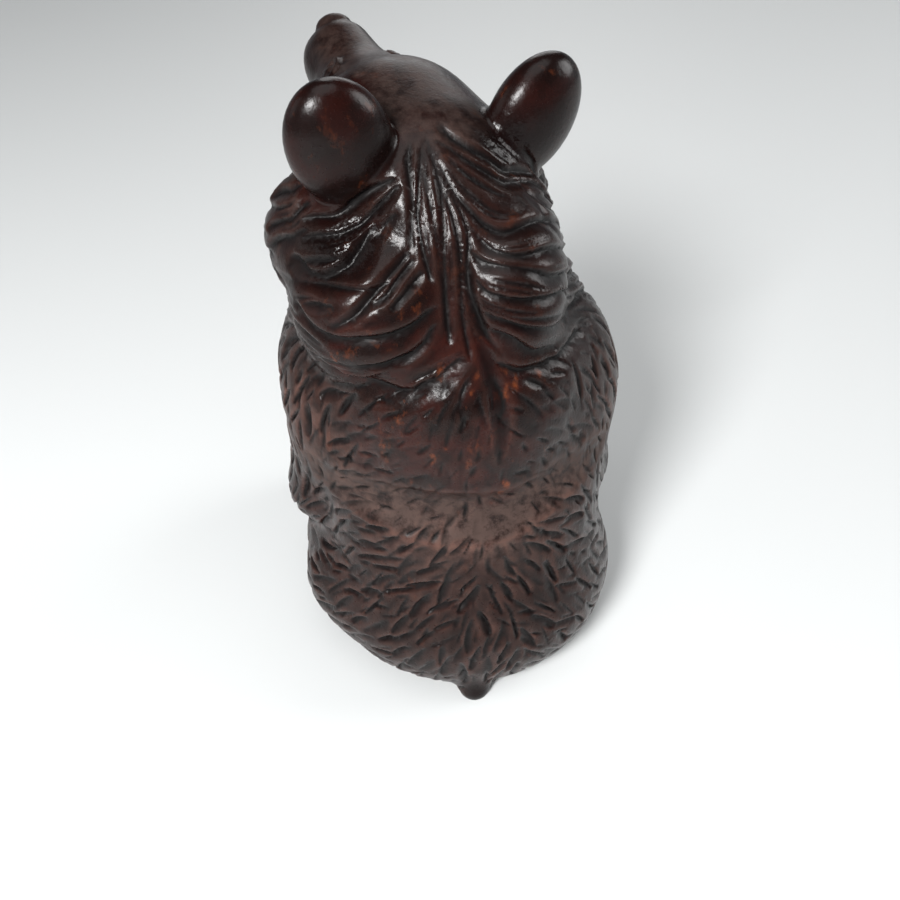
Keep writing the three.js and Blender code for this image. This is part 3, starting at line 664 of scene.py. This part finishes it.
class Coat:
    """The skin of the bear as points, with the way out, the way of the hair and the depth of the cuts

    Points and cuts are in millimetres. on_head holds the points in the frame of the head and shares
    holds them in the frame of the bear, both in percent of the height.
    """

    def __init__(self, bear, points, normals):
        self.bear = bear
        self.points = points
        self.normals = normals
        self.cuts = np.zeros(len(points))
        self.drawn = []
        ways = np.zeros_like(points)
        for middle, direction, reach in coat_guides(bear):
            weight = np.exp(-((points - middle) ** 2).sum(1) / reach**2)
            ways += weight[:, None] * direction
        ways -= normals * (ways * normals).sum(1)[:, None]
        self.ways = ways / np.linalg.norm(ways, axis=1, keepdims=True).clip(1e-9)
        self.tree = kdtree.KDTree(len(points))
        for n, point in enumerate(points):
            self.tree.insert(point, n)
        self.tree.balance()
        inverse = np.array(bear.head_pose.inverted())
        self.on_head = (points @ inverse[:3, :3].T + inverse[:3, 3]) / bear.percent
        self.shares = points / bear.percent

    def near(self, centre, reach):
        """1 around a place given in percent of the height, falling to 0 at its reach"""
        gap = np.linalg.norm((self.shares - np.array(centre)) / np.array(reach), axis=1)
        return np.clip(1.5 * (1 - gap), 0, 1)

    def smooth_parts(self):
        """The parts left smooth: the face, the ears, the tail, the soles, the toes and the underside"""
        x, y, z = self.on_head.T
        face = (z > -14) & ((y < -14) | ((z > -1) & (y < 5.5)))
        ears = (z > 3) & (np.abs(x) > 7) & (y < 9)
        tail = self.near((-0.5, 20, 3), (4, 4, 6)) > 0.3
        soles = (self.shares[:, 1] < -30) & (self.shares[:, 2] < 22)
        middles = [toe.translation for side in SIDES for toe in self.bear.toe_frames(side)]
        toes = self.apart(middles) < 0.9 * self.bear.toe_width
        return face | ears | tail | soles | toes | (self.shares[:, 2] < 1.2)

    def scattered(self, where, long, wide, rng):
        """Points of the skin never closer than the cuts are long and wide, taken in a shuffled order"""
        candidates = np.flatnonzero(where)
        taken = []
        cells = {}
        for n in rng.permutation(candidates)[:TRIED]:
            point, way = self.points[n], self.ways[n]
            cell = tuple((point // long).astype(int))
            clear = True
            # The cell and the 26 around it
            for i in range(27):
                key = (cell[0] + i % 3 - 1, cell[1] + i // 3 % 3 - 1, cell[2] + i // 9 - 1)
                for other in cells.get(key, ()):
                    gap = point - self.points[other]
                    along = gap @ self.ways[other]
                    across = gap - along * self.ways[other]
                    if (along / long) ** 2 + (across @ across) / wide**2 < 1:
                        clear = False
                        break
                if not clear:
                    break
            if clear:
                cells.setdefault(cell, []).append(n)
                taken.append(n)
        return np.array(taken)

    def pressed(self, places):
        """Places moved onto the skin, and the nearest points of the skin"""
        nearest = [self.tree.find(place)[1] for place in places]
        lift = ((places - self.points[nearest]) * self.normals[nearest]).sum(1)
        return places - lift[:, None] * self.normals[nearest], nearest

    def followed(self, starts, long, step, astray):
        """Paths through some points of the skin, each turned from the hair by its angle in astray

        They come as an array of paths by samples by three.
        """
        half = max(1, round(long / 2 / step))
        halves = []
        for towards in (-1, 1):
            here, nearest = self.points[starts], starts
            path = []
            for _ in range(half):
                way, out = self.ways[nearest], self.normals[nearest]
                way = np.cos(astray)[:, None] * way + np.sin(astray)[:, None] * np.cross(out, way)
                here, nearest = self.pressed(here + towards * step * way)
                path.append(here)
            halves.append(path)
        return np.stack(halves[0][::-1] + [self.points[starts]] + halves[1], 1)

    def traced(self, corners, pose=None):
        """A smooth path on the skin through a few places given in percent of the height"""
        pose = pose or Matrix.Identity(4)
        corners = np.array([pose @ self.bear.at(*corner) for corner in corners])
        gaps = np.linalg.norm(np.diff(corners, axis=0), axis=1)
        marks = np.concatenate(([0], np.cumsum(gaps)))
        where = np.linspace(0, marks[-1], SAMPLES)
        path = np.stack([np.interp(where, marks, corners[:, n]) for n in range(3)], 1)
        blur = SAMPLES // 12
        padded = np.concatenate((path[:1].repeat(blur, 0), path, path[-1:].repeat(blur, 0)))
        spread = np.ones(2 * blur + 1) / (2 * blur + 1)
        path = np.stack([np.convolve(padded[:, n], spread, "valid") for n in range(3)], 1)
        return self.pressed(path)[0]

    def cut(self, path, depths, reaches, kind):
        """One cut: each sample takes a bite, and the deepest bite counts.

        A round bite is a scoop, a sharp one a groove. A lapped bite is deepest below its upper
        edge and runs out downwards, so that what is above stands over what is below.
        """
        cuts = self.cuts
        if kind == "lapped":
            along = np.gradient(path, axis=0)
            nearest = [self.tree.find(place)[1] for place in path]
            across = np.cross(along, self.normals[nearest])
            across *= np.sign(across[:, 2].sum()) / np.linalg.norm(across, axis=1, keepdims=True).clip(1e-9)
        for row, (place, depth, reach) in enumerate(zip(path, depths, reaches)):
            side = Vector(across[row]) if kind == "lapped" else None
            middle = Vector(place)
            for corner, n, gap in self.tree.find_range(place, reach):
                share = gap / reach
                if kind == "round":
                    bite = depth * (1 - share * share)
                elif kind == "sharp":
                    bite = depth * (1 - share)
                else:
                    rise = (corner - middle).dot(side) / reach
                    ramp = ((rise + 1) / 1.5) ** 1.5 if rise < 0.5 else (1 - rise) / 0.5
                    bite = depth * ramp * min(1, 3 * (1 - share))
                if bite > cuts[n]:
                    cuts[n] = bite

    def gouge(self, where, long, wide, deep, rng, kind, spacing=(0.75, 0.92), vary=0.3):
        """Many cuts along the hair, each the shape of a leaf and deepest where the gouge leaves it

        where holds their strength at each point. They lie at least spacing times their length and
        width apart, and vary is how much one differs from the next.
        """
        before = self.cuts
        self.cuts = np.zeros(len(self.points))
        starts = self.scattered(where > 0.05, long * spacing[0], wide * spacing[1], rng)
        astray = rng.uniform(-1, 1, len(starts)) * vary
        step = min(wide, 3) * 0.2
        paths = self.followed(starts, long * (1 + vary), step, astray)
        for path, start in zip(paths, starts):
            lost = int(rng.integers(0, max(1, round(len(path) * vary))))
            path = path[lost // 2 : len(path) - lost // 2]
            share = (np.arange(len(path)) + 1) / (len(path) + 1)
            leaf = np.sin(np.pi * share**1.3) ** 0.6
            strength = where[start] * (1 + vary * rng.uniform(-1.4, 0.8))
            reach = wide / 2 * (1 + vary * rng.uniform(-1, 1))
            self.cut(path, deep * strength * leaf, reach * (0.45 + 0.55 * leaf), kind)
        self.cuts = before + self.cuts

    def draw(self, path, kind, wide, deep):
        """One long cut along a given path, shallow and narrow at both ends"""
        share = (np.arange(len(path)) + 1) / (len(path) + 1)
        leaf = np.sin(np.pi * share) ** 0.45 * (0.85 + 0.15 * np.sin(9 * share + path[0, 2]))
        self.cut(path, deep * leaf, wide / 2 * (0.4 + 0.6 * leaf), kind)
        self.drawn.append(path)

    def draw_locks(self, rows, kind, wide, deep, strands, end, strand_size, rng):
        """The grooves below the locks, and finer strands between each and the next

        strand_size is the width and depth of a strand's groove.
        """
        uneven = [np.array(row) + rng.uniform(-0.55, 0.55, (len(row), 3)) for row in rows]
        paths = [self.traced(row) for row in uneven]
        for path in paths:
            start = int(SAMPLES * rng.uniform(0, 0.12))
            self.draw(path[start:], kind, wide * rng.uniform(0.75, 1.15), deep * rng.uniform(0.7, 1.1))
        for first, second in zip(paths, paths[1:]):
            for n in range(strands):
                mix = (n + 1 + rng.uniform(-0.3, 0.3)) / (strands + 1)
                lean = np.linspace(mix, mix + rng.uniform(-0.35, 0.35) / (strands + 1), SAMPLES)
                between, _ = self.pressed(first + lean[:, None] * (second - first))
                start = int(SAMPLES * rng.uniform(0, 0.25))
                last = int(SAMPLES * end * rng.uniform(0.6, 1))
                size = rng.uniform(0.7, 1.25)
                self.draw(between[start:last], "sharp", strand_size[0] * size, strand_size[1] * size)

    def apart(self, places):
        """How far each point lies from the nearest of some places, in millimetres"""
        drawn = kdtree.KDTree(len(places))
        for n, place in enumerate(places):
            drawn.insert(place, n)
        drawn.balance()
        return np.array([drawn.find(point)[2] for point in self.points])

    def find_rims(self, edges, rounds=20):
        """How far each point lies below its surroundings: above nought in a cut, below on its rim

        More rounds of smoothing take in wider surroundings.
        """
        ends = np.concatenate((edges[:, 0], edges[:, 1]))
        others = np.concatenate((edges[:, 1], edges[:, 0]))
        count = np.bincount(ends, minlength=len(self.points)).clip(1)
        level = self.cuts
        for _ in range(rounds):
            level = 0.5 * level + 0.5 * np.bincount(ends, level[others], len(self.points)) / count
        self.hollow = self.cuts - level


def cut_size(sizes, name):
    """Length, width and depth of a kind of cut in millimetres"""
    return [getattr(sizes, f"{name}_{measure}") / MM for measure in ("length", "width", "depth")]


def carve_coat(coat, sizes):
    """The drawn locks, folds and grooves in the rest of the mane, then short marks on the body"""
    rng = np.random.default_rng(7)
    bear = coat.bear
    fold, groove, mark, nick = (cut_size(sizes, name) for name in ("fold", "groove", "mark", "nick"))
    step = sizes.step_depth / MM
    for rows, kind, wide, depth, strands, end in MANE:
        coat.draw_locks(rows, kind, bear.size(wide), depth * step, strands, end, groove[1:], rng)
    for kind, wide, depth, corners in SINGLE_CUTS:
        coat.draw(coat.traced(corners), kind, bear.size(wide), depth * step)
    # Away from the drawn cuts, and close to the last one, which is the waist
    away = np.clip(coat.apart(np.concatenate(coat.drawn)[::3]) / 2.5 - 1, 0, 1)
    coat.waist = np.clip(1.4 - coat.apart(coat.drawn[-1]) / bear.size(4.5), 0, 1)
    for kind, wide, depth, corners in FACE_CUTS:
        for side in SIDES:
            mirrored = [(side * x, y, z) for x, y, z in corners]
            coat.draw(coat.traced(mirrored, bear.head_pose), kind, bear.size(wide), depth * step)
    for kind, wide, depth, corners in SOLE_CUTS:
        for side in SIDES:
            coat.draw(coat.traced(corners, bear.foot_pose(side)), kind, bear.size(wide), depth * step)

    # The upper back is calm, and the waist and the middle of the lower back are almost still
    hairy = ~coat.smooth_parts()
    z = coat.shares[:, 2]
    high = np.clip((z - MANE_FOOT) / 4, 0, 1)
    calm = np.clip(coat.near((0, 18, 53), (15, 14, 11)) + 0.5 * coat.near((0, 12, 55), (30, 18, 12)), 0, 0.85)
    chest = np.clip(coat.near((0, -20, 56), (20, 13, 20)), 0, 1)
    mane = hairy * np.clip(high + chest, 0, 1) * away
    still = np.clip(0.8 * coat.waist + coat.near((-3, 18, 38), (7, 8, 6)), 0, 0.92)
    body = hairy * (1 - high) * (1 - calm) * (1 - chest) * (1 - still)
    coat.gouge(mane, *fold, rng, "lapped")
    coat.gouge(mane, *groove, rng, "sharp", spacing=(0.6, 0.9), vary=0.2)
    coat.gouge(body, *mark, rng, "lapped", spacing=(0.9, 1.35), vary=0.5)
    coat.gouge(body > 0.1, *nick, rng, "sharp", spacing=(1.5, 2.2), vary=0.5)
    scallop(coat, sizes, rng)


def scallop(coat, sizes, rng):
    """Notches cut upwards into the lower edge of the body, side by side"""
    wide, deep = sizes.scallop_width / MM, sizes.scallop_depth / MM
    samples = 9
    behind = (coat.shares[:, 1] > -20) & (coat.near((-0.5, 20, 0), (6, 5, 5)) < 0.1)
    low = coat.points[(np.abs(coat.points[:, 2]) < 0.5) & behind]
    around = low[np.argsort(np.arctan2(low[:, 1], low[:, 0]))]
    before = coat.cuts
    coat.cuts = np.zeros(len(coat.points))
    last = None
    for place in around:
        if last is not None and np.linalg.norm(place - last) < wide * 0.95:
            continue
        last = place
        rise = wide * rng.uniform(1, 1.7)
        path, _ = coat.pressed(place + np.outer(np.linspace(-0.3, 1, samples) * rise, (0, 0, 1)))
        depths = deep * rng.uniform(0.6, 1) * np.linspace(1, 0.6, samples)
        coat.cut(path, depths, np.full(samples, wide / 2), "round")
    coat.cuts = before + coat.cuts


# Mesh helpers


def deselect():
    bpy.ops.object.select_all(action="DESELECT")


def mesh_points(obj):
    points = np.empty(len(obj.data.vertices) * 3)
    obj.data.vertices.foreach_get("co", points)
    return points.reshape(-1, 3) / MM


def mesh_edges(obj):
    edges = np.empty(len(obj.data.edges) * 2, np.int32)
    obj.data.edges.foreach_get("vertices", edges)
    return edges.reshape(-1, 2)


def set_points(obj, points):
    obj.data.vertices.foreach_set("co", (points * MM).astype(np.float32).ravel())
    obj.data.update()


def apply_modifier(obj, kind, **settings):
    modifier = obj.modifiers.new(kind.title(), kind)
    for name, value in settings.items():
        setattr(modifier, name, value)
    bpy.context.view_layer.objects.active = obj
    bpy.ops.object.modifier_apply(modifier=modifier.name)


def blocked_out(masses):
    """The masses as primitives, joined into one object"""
    deselect()
    made = []
    for mass in masses:
        before = set(bpy.data.objects)
        mass.block_out()
        made += [obj for obj in bpy.data.objects if obj not in before]
    for obj in made:
        obj.select_set(True)
    bpy.context.view_layer.objects.active = made[0]
    bpy.ops.object.join()
    bpy.ops.object.transform_apply(location=True, rotation=True, scale=True)
    return bpy.context.view_layer.objects.active


def cut_flat(obj):
    """Everything below the floor cut off with a block"""
    size = 0.4
    deselect()
    bpy.ops.mesh.primitive_cube_add(size=size, location=(0, 0, -size / 2))
    block = bpy.context.active_object
    apply_modifier(obj, "BOOLEAN", object=block, operation="DIFFERENCE", solver="MANIFOLD")
    bpy.data.objects.remove(block)


def set_attribute(obj, name, values):
    attribute = obj.data.attributes.new(name, "FLOAT", "POINT")
    attribute.data.foreach_set("value", np.asarray(values, np.float32))


def finished(obj, name):
    """The object at the origin with its place in its mesh, smooth, and riding on the bear's body"""
    obj.name = name
    obj.data.name = name
    deselect()
    obj.select_set(True)
    bpy.context.view_layer.objects.active = obj
    bpy.ops.object.shade_smooth()
    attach(obj, "root")


# Materials


def linear(hexcode):
    """A colour written as sRGB hex, as linear red, green, blue and alpha"""
    parts = [int(hexcode[n : n + 2], 16) / 255 for n in (1, 3, 5)]
    return [c / 12.92 if c <= 0.04045 else ((c + 0.055) / 1.055) ** 2.4 for c in parts] + [1.0]


def add_node(owner, kind, inputs=None, **settings):
    """A node of a material or the world. An input is a value or the socket that feeds it."""
    tree = owner.node_tree
    made = tree.nodes.new(kind)
    for name, value in settings.items():
        setattr(made, name, value)
    for name, value in (inputs or {}).items():
        if isinstance(value, bpy.types.NodeSocket):
            tree.links.new(value, made.inputs[name])
        else:
            made.inputs[name].default_value = value
    return made


# Limewood cut with a gouge, stained dark brown and waxed: nearly black in the cuts, from stain and
# wax lying there and from painted shade, red brown where it is handled, glossy on the ears and the
# mane, dull under dust on the forehead and the lower back, and paler along the edges of the cuts,
# where the stain is rubbed off
def stained_limewood(colours):
    material = bpy.data.materials.new("limewood, gouge-cut, dark brown stain, waxed")
    material.use_nodes = True
    material.node_tree.nodes.clear()
    place = add_node(material, "ShaderNodeTexCoord").outputs["Object"]
    looks = {}
    for name in ("hollow", "rim", "gloss", "dusty", "warm", "pitch"):
        looks[name] = add_node(material, "ShaderNodeAttribute", attribute_name=name).outputs["Fac"]

    # Size in millimetres, detail, roughness and squeeze of each pattern
    patterns = {
        "patches": (8, 3, 0.55, (1, 1, 1)),  # where the stain took more or less
        "rubbing": (4, 4, 0.6, (1, 1, 0.6)),  # small spots rubbed to the wood
        "film": (3.5, 5, 0.7, (1, 1, 1)),  # dust
        "specks": (0.8, 2, 0.5, (1, 1, 1)),  # pits of the brushed wax
        "lumps": (1.8, 2, 0.5, (1, 1, 1)),  # thick wax in the deep places
        "fibres": (0.6, 3, 0.6, (1, 1, 0.1)),  # fibres of the wood, up the block
    }
    for name, (size_mm, detail, roughness, squeeze) in patterns.items():
        squeezed = add_node(material, "ShaderNodeMapping", {"Vector": place, "Scale": squeeze}).outputs[0]
        looks[name] = add_node(
            material,
            "ShaderNodeTexNoise",
            {"Vector": squeezed, "Scale": 1 / (size_mm * MM), "Detail": detail, "Roughness": roughness},
        ).outputs["Fac"]

    # Where each coat of colour lies, one over the other: a pattern between two values, times a region
    shares = {
        "red": ("patches", 0.38, 0.66, "warm"),
        "worn": ("rubbing", 0.58, 0.8, "warm"),
        "dust": ("film", 0.3, 0.7, "dusty"),
        "edge": ("film", 0.1, 0.6, "rim"),
        # Painted shade as well as stain and wax: darker where a point lies below its surroundings
        "recess": ("specks", 0.0, 0.3, "hollow"),
    }
    # A mix node of colours has its factor at input 0, the two colours at 6 and 7 and the result at 2
    base = linear(colours.stain)
    for name, (pattern, low, high, region) in shares.items():
        spread = {"Value": looks[pattern], "From Min": low, "From Max": high}
        shown = add_node(material, "ShaderNodeMapRange", spread, interpolation_type="SMOOTHSTEP")
        factors = {0: shown.outputs[0], 1: looks[region]}
        share = add_node(material, "ShaderNodeMath", factors, operation="MULTIPLY", use_clamp=True)
        looks[name] = share.outputs[0]
        tint = linear(getattr(colours, name))
        mix = {0: looks[name], 6: base, 7: tint}
        base = add_node(material, "ShaderNodeMix", mix, data_type="RGBA").outputs[2]
    mix = {0: looks["pitch"], 6: base, 7: linear(colours.recess)}
    base = add_node(material, "ShaderNodeMix", mix, data_type="RGBA").outputs[2]

    # Wax gives a roughness of 0.24, 0.2 where it is polished, more under dust
    polish = {"Value": looks["gloss"], "To Min": 0.24, "To Max": 0.2}
    rough = add_node(material, "ShaderNodeMapRange", polish).outputs[0]
    for name, amount in (("dust", 0.3), ("specks", 0.1), ("hollow", 0.15)):
        rough = add_node(
            material, "ShaderNodeMath", {0: looks[name], 1: amount, 2: rough}, operation="MULTIPLY_ADD"
        ).outputs[0]

    # Height in millimetres of the relief that is finer than the mesh
    specks = add_node(
        material, "ShaderNodeBump", {"Height": looks["specks"], "Strength": 0.35, "Distance": 0.12 * MM}
    ).outputs[0]
    # The fibres are filled with wax where it is polished
    open_grain = {"Value": looks["gloss"], "To Min": 0.3, "To Max": 0.08}
    open_grain = add_node(material, "ShaderNodeMapRange", open_grain).outputs[0]
    fibres = add_node(
        material,
        "ShaderNodeBump",
        {"Height": looks["fibres"], "Strength": open_grain, "Distance": 0.14 * MM, "Normal": specks},
    ).outputs[0]
    lumps = add_node(
        material,
        "ShaderNodeBump",
        {"Height": looks["lumps"], "Strength": looks["pitch"], "Distance": 0.5 * MM, "Normal": fibres},
    ).outputs[0]
    shader = add_node(
        material,
        "ShaderNodeBsdfPrincipled",
        {"Base Color": base, "Roughness": rough, "Normal": lumps, "IOR": 1.45, "Specular IOR Level": 0.21},
    )
    output = add_node(material, "ShaderNodeOutputMaterial")
    material.node_tree.links.new(shader.outputs[0], output.inputs["Surface"])
    return material


def pale_laminate(hexcode):
    """A pale table top, matt"""
    material = bpy.data.materials.new("laminate, pressed, matt pale grey")
    material.use_nodes = True
    shader = material.node_tree.nodes["Principled BSDF"]
    shader.inputs["Base Color"].default_value = linear(hexcode)
    shader.inputs["Roughness"].default_value = 0.55
    return material


# Operators


class BEAR_OT_carve(bpy.types.Operator):
    """Block out the bear, settle its skin and cut its coat"""

    bl_idname = "bear.carve"
    bl_label = "Carve the bear"

    def execute(self, context):
        scene = context.scene
        bear = Bear(scene.bear_sizes)
        cell = bear.skin_cell * 1
        obj = blocked_out([mass for mass, _ in bear.masses])
        apply_modifier(obj, "REMESH", mode="VOXEL", voxel_size=FIRST_CELL * MM)
        points, _ = bear.settled(mesh_points(obj), rounds=3, margin=8)
        set_points(obj, points)
        apply_modifier(obj, "REMESH", mode="VOXEL", voxel_size=cell * MM)
        points, normals = bear.settled(mesh_points(obj), rounds=3, margin=3)
        coat = Coat(bear, points, normals)
        carve_coat(coat, scene.coat_sizes)
        coat.find_rims(mesh_edges(obj))
        set_points(obj, points - normals * coat.cuts[:, None])
        apply_modifier(obj, "TRIANGULATE")
        facets = len(obj.data.polygons)
        apply_modifier(obj, "DECIMATE", ratio=min(1, bear.skin_facets / facets))
        cut_flat(obj)
        apply_modifier(obj, "TRIANGULATE")
        low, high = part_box(NODE)
        set_points(obj, np.clip(mesh_points(obj), np.array(low) / MM, np.array(high) / MM))
        self.hold_looks(obj, coat)
        obj.data.materials.clear()
        obj.data.materials.append(stained_limewood(scene.bear_colours))
        finished(obj, "carved_bear")
        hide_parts(NODE)
        return {"FINISHED"}

    def hold_looks(self, obj, coat):
        """Cuts, rims and the regions of gloss, dust, warm wear and thick wax, held at each vertex"""
        places = mesh_points(obj)
        nearest = [coat.tree.find(place)[1] for place in places]
        x, y, z = coat.on_head.T
        ears = ((z > 2) & (np.abs(x) > 6) & (y < 9)).astype(float)
        forehead = np.clip((z + 1) / 4, 0, 1) * np.clip((7 - y) / 4, 0, 1) * (1 - ears)
        mane = coat.near((4, 14, 68), (20, 16, 14))
        low_back = coat.near((0, 20, 37), (24, 16, 9))
        left_shoulder, right_shoulder = (coat.near((side * 24, 0, 52), (12, 16, 12)) for side in SIDES)
        shoulders = np.clip(left_shoulder + right_shoulder, 0, 1)
        back = coat.near((4, 16, 58), (20, 18, 18))
        left_lobe = coat.near((10, 14, 70), (14, 16, 10))
        warm = np.clip(back + left_lobe + 0.2, 0, 1)
        worn_spot = coat.near((-3, 17, 47), (4.5, 8, 6))
        below = np.clip((MANE_FOOT - coat.shares[:, 2]) / 8, 0, 1)
        centre = coat.near((-3, 18, 38), (8, 8, 6))
        # Thick wax lies beside the right ear, below the left ear and, thinner, on the crown
        beside_ear = coat.near((-7, -2, 90), (5.5, 6, 5))
        below_ear = coat.near((14, 4, 81), (10, 7, 6))
        crown = coat.near((5, 2, 90), (4, 5, 5))
        pitch = np.clip(beside_ear + below_ear + 0.5 * crown, 0, 1)
        rubbed = 0.1 + 0.25 * below + 0.4 * low_back + 0.35 * shoulders
        dusty = 0.4 * forehead + 1.3 * coat.waist + centre + 0.4 * low_back + 0.2 * shoulders
        looks = {
            # Darkens the colour in the cuts: painted shade, together with stain and wax lying there
            "hollow": np.clip(coat.hollow / 0.25, 0, 1),
            "rim": np.clip(-coat.hollow / 0.28, 0, 1) * rubbed,
            "gloss": np.clip(0.8 * ears + mane + pitch, 0, 1),
            "dusty": np.clip(dusty, 0, 1.6) * (1 - pitch),
            "warm": np.clip(warm + 0.25 * ears + 1.6 * worn_spot, 0, 1.8),
            "pitch": 0.8 * pitch,
        }
        for name, values in looks.items():
            set_attribute(obj, name, values[nearest])


# The light of the room: name, place in metres, width in metres and power in watts
LIGHTS = (
    ("window", (0.31, 0.42, 0.52), 0.2, 8.8),
    ("ceiling", (0.0, 0.1, 1.1), 0.9, 4.2),
    ("left_wall", (0.95, -0.15, 0.5), 0.6, 0.8),
    ("right_wall", (-0.95, -0.1, 0.55), 0.6, 6.6),
    ("front_wall", (-0.2, -1.0, 0.5), 0.6, 1.6),
)
LIT_PLACE = Vector((0, 0, 0.06))
FLOOR_SIZE = 3.0
# Strength of the world at the level of the floor, and where the way up is steeper than WALL_TOP
WALL_LIGHT = 0.42
CEILING_LIGHT = 0.04
WALL_TOP = 0.45
# The camera: its turn from the front of the bear past its left and its rise above level, in
# degrees, and its distance from its target in metres
CAMERA_TURN = 171.5
CAMERA_RISE = 43.8
CAMERA_REACH = 0.2235
CAMERA_TARGET = Vector((0.0012, 0, 0.0586))


class BEAR_OT_stage(bpy.types.Operator):
    """Set the pale table top, the soft light and the camera"""

    bl_idname = "bear.stage"
    bl_label = "Set the stage"

    def execute(self, context):
        scene = context.scene
        looks = scene.bear_stage
        deselect()
        bpy.ops.mesh.primitive_plane_add(size=FLOOR_SIZE, location=(0, 0, 0))
        floor = context.active_object
        floor.name = "table_top"
        floor.data.materials.append(pale_laminate(looks.floor_colour))
        for name, place, size, power in LIGHTS:
            self.light(name, place, size, power)
        scene.world = self.room(looks)
        scene.view_settings.view_transform = "Standard"
        self.camera(scene, looks)
        return {"FINISHED"}

    def room(self, looks):
        """Pale walls all round that get darker towards the ceiling"""
        world = bpy.data.worlds.new("pale room")
        world.use_nodes = True
        way = add_node(world, "ShaderNodeTexCoord").outputs["Generated"]
        rise = add_node(world, "ShaderNodeSeparateXYZ", {"Vector": way}).outputs["Z"]
        shades = {"Value": rise, "From Max": WALL_TOP, "To Min": WALL_LIGHT, "To Max": CEILING_LIGHT}
        strength = add_node(world, "ShaderNodeMapRange", shades).outputs[0]
        background = world.node_tree.nodes["Background"]
        background.inputs["Color"].default_value = linear(looks.wall_colour)
        world.node_tree.links.new(strength, background.inputs["Strength"])
        return world

    def light(self, name, place, size, power):
        data = bpy.data.lights.new(name, "AREA")
        data.shape = "DISK"
        data.size = size
        data.energy = power
        lamp = bpy.data.objects.new(name, data)
        lamp.location = place
        aim = LIT_PLACE - Vector(place)
        lamp.rotation_euler = aim.to_track_quat("-Z", "Y").to_euler()
        bpy.context.scene.collection.objects.link(lamp)

    def camera(self, scene, looks):
        """Above and behind the bear, a little to its left, close to it"""
        turn, rise = math.radians(CAMERA_TURN), math.radians(CAMERA_RISE)
        back = Vector((math.sin(turn) * math.cos(rise), -math.cos(turn) * math.cos(rise), math.sin(rise)))
        data = bpy.data.cameras.new("camera")
        data.sensor_width = 36
        data.lens = looks.lens
        data.clip_start = 0.01
        eye = bpy.data.objects.new("camera", data)
        eye.location = CAMERA_TARGET + CAMERA_REACH * back
        eye.rotation_euler = (-back).to_track_quat("-Z", "Y").to_euler()
        scene.collection.objects.link(eye)
        scene.camera = eye


class BEAR_PT_panel(bpy.types.Panel):
    """Sizes, colours and steps of the carved bear"""

    bl_label = "Carved bear"
    bl_idname = "BEAR_PT_panel"
    bl_space_type = "VIEW_3D"
    bl_region_type = "UI"
    bl_category = "Carved bear"

    def draw(self, context):
        for group in (getattr(context.scene, name) for name in GROUPS):
            box = self.layout.box()
            for name in group.__annotations__:
                box.prop(group, name)
        self.layout.operator(BEAR_OT_carve.bl_idname)
        self.layout.operator(BEAR_OT_stage.bl_idname)


CLASSES = (*GROUPS.values(), BEAR_OT_carve, BEAR_OT_stage, BEAR_PT_panel)


def register():
    for item in CLASSES:
        bpy.utils.register_class(item)
    for name, group in GROUPS.items():
        setattr(bpy.types.Scene, name, bpy.props.PointerProperty(type=group))


def unregister():
    for name in GROUPS:
        delattr(bpy.types.Scene, name)
    for item in reversed(CLASSES):
        bpy.utils.unregister_class(item)


def main():
    register()
    bpy.ops.bear.carve()
    bpy.ops.bear.stage()


if __name__ == "__main__":
    main()
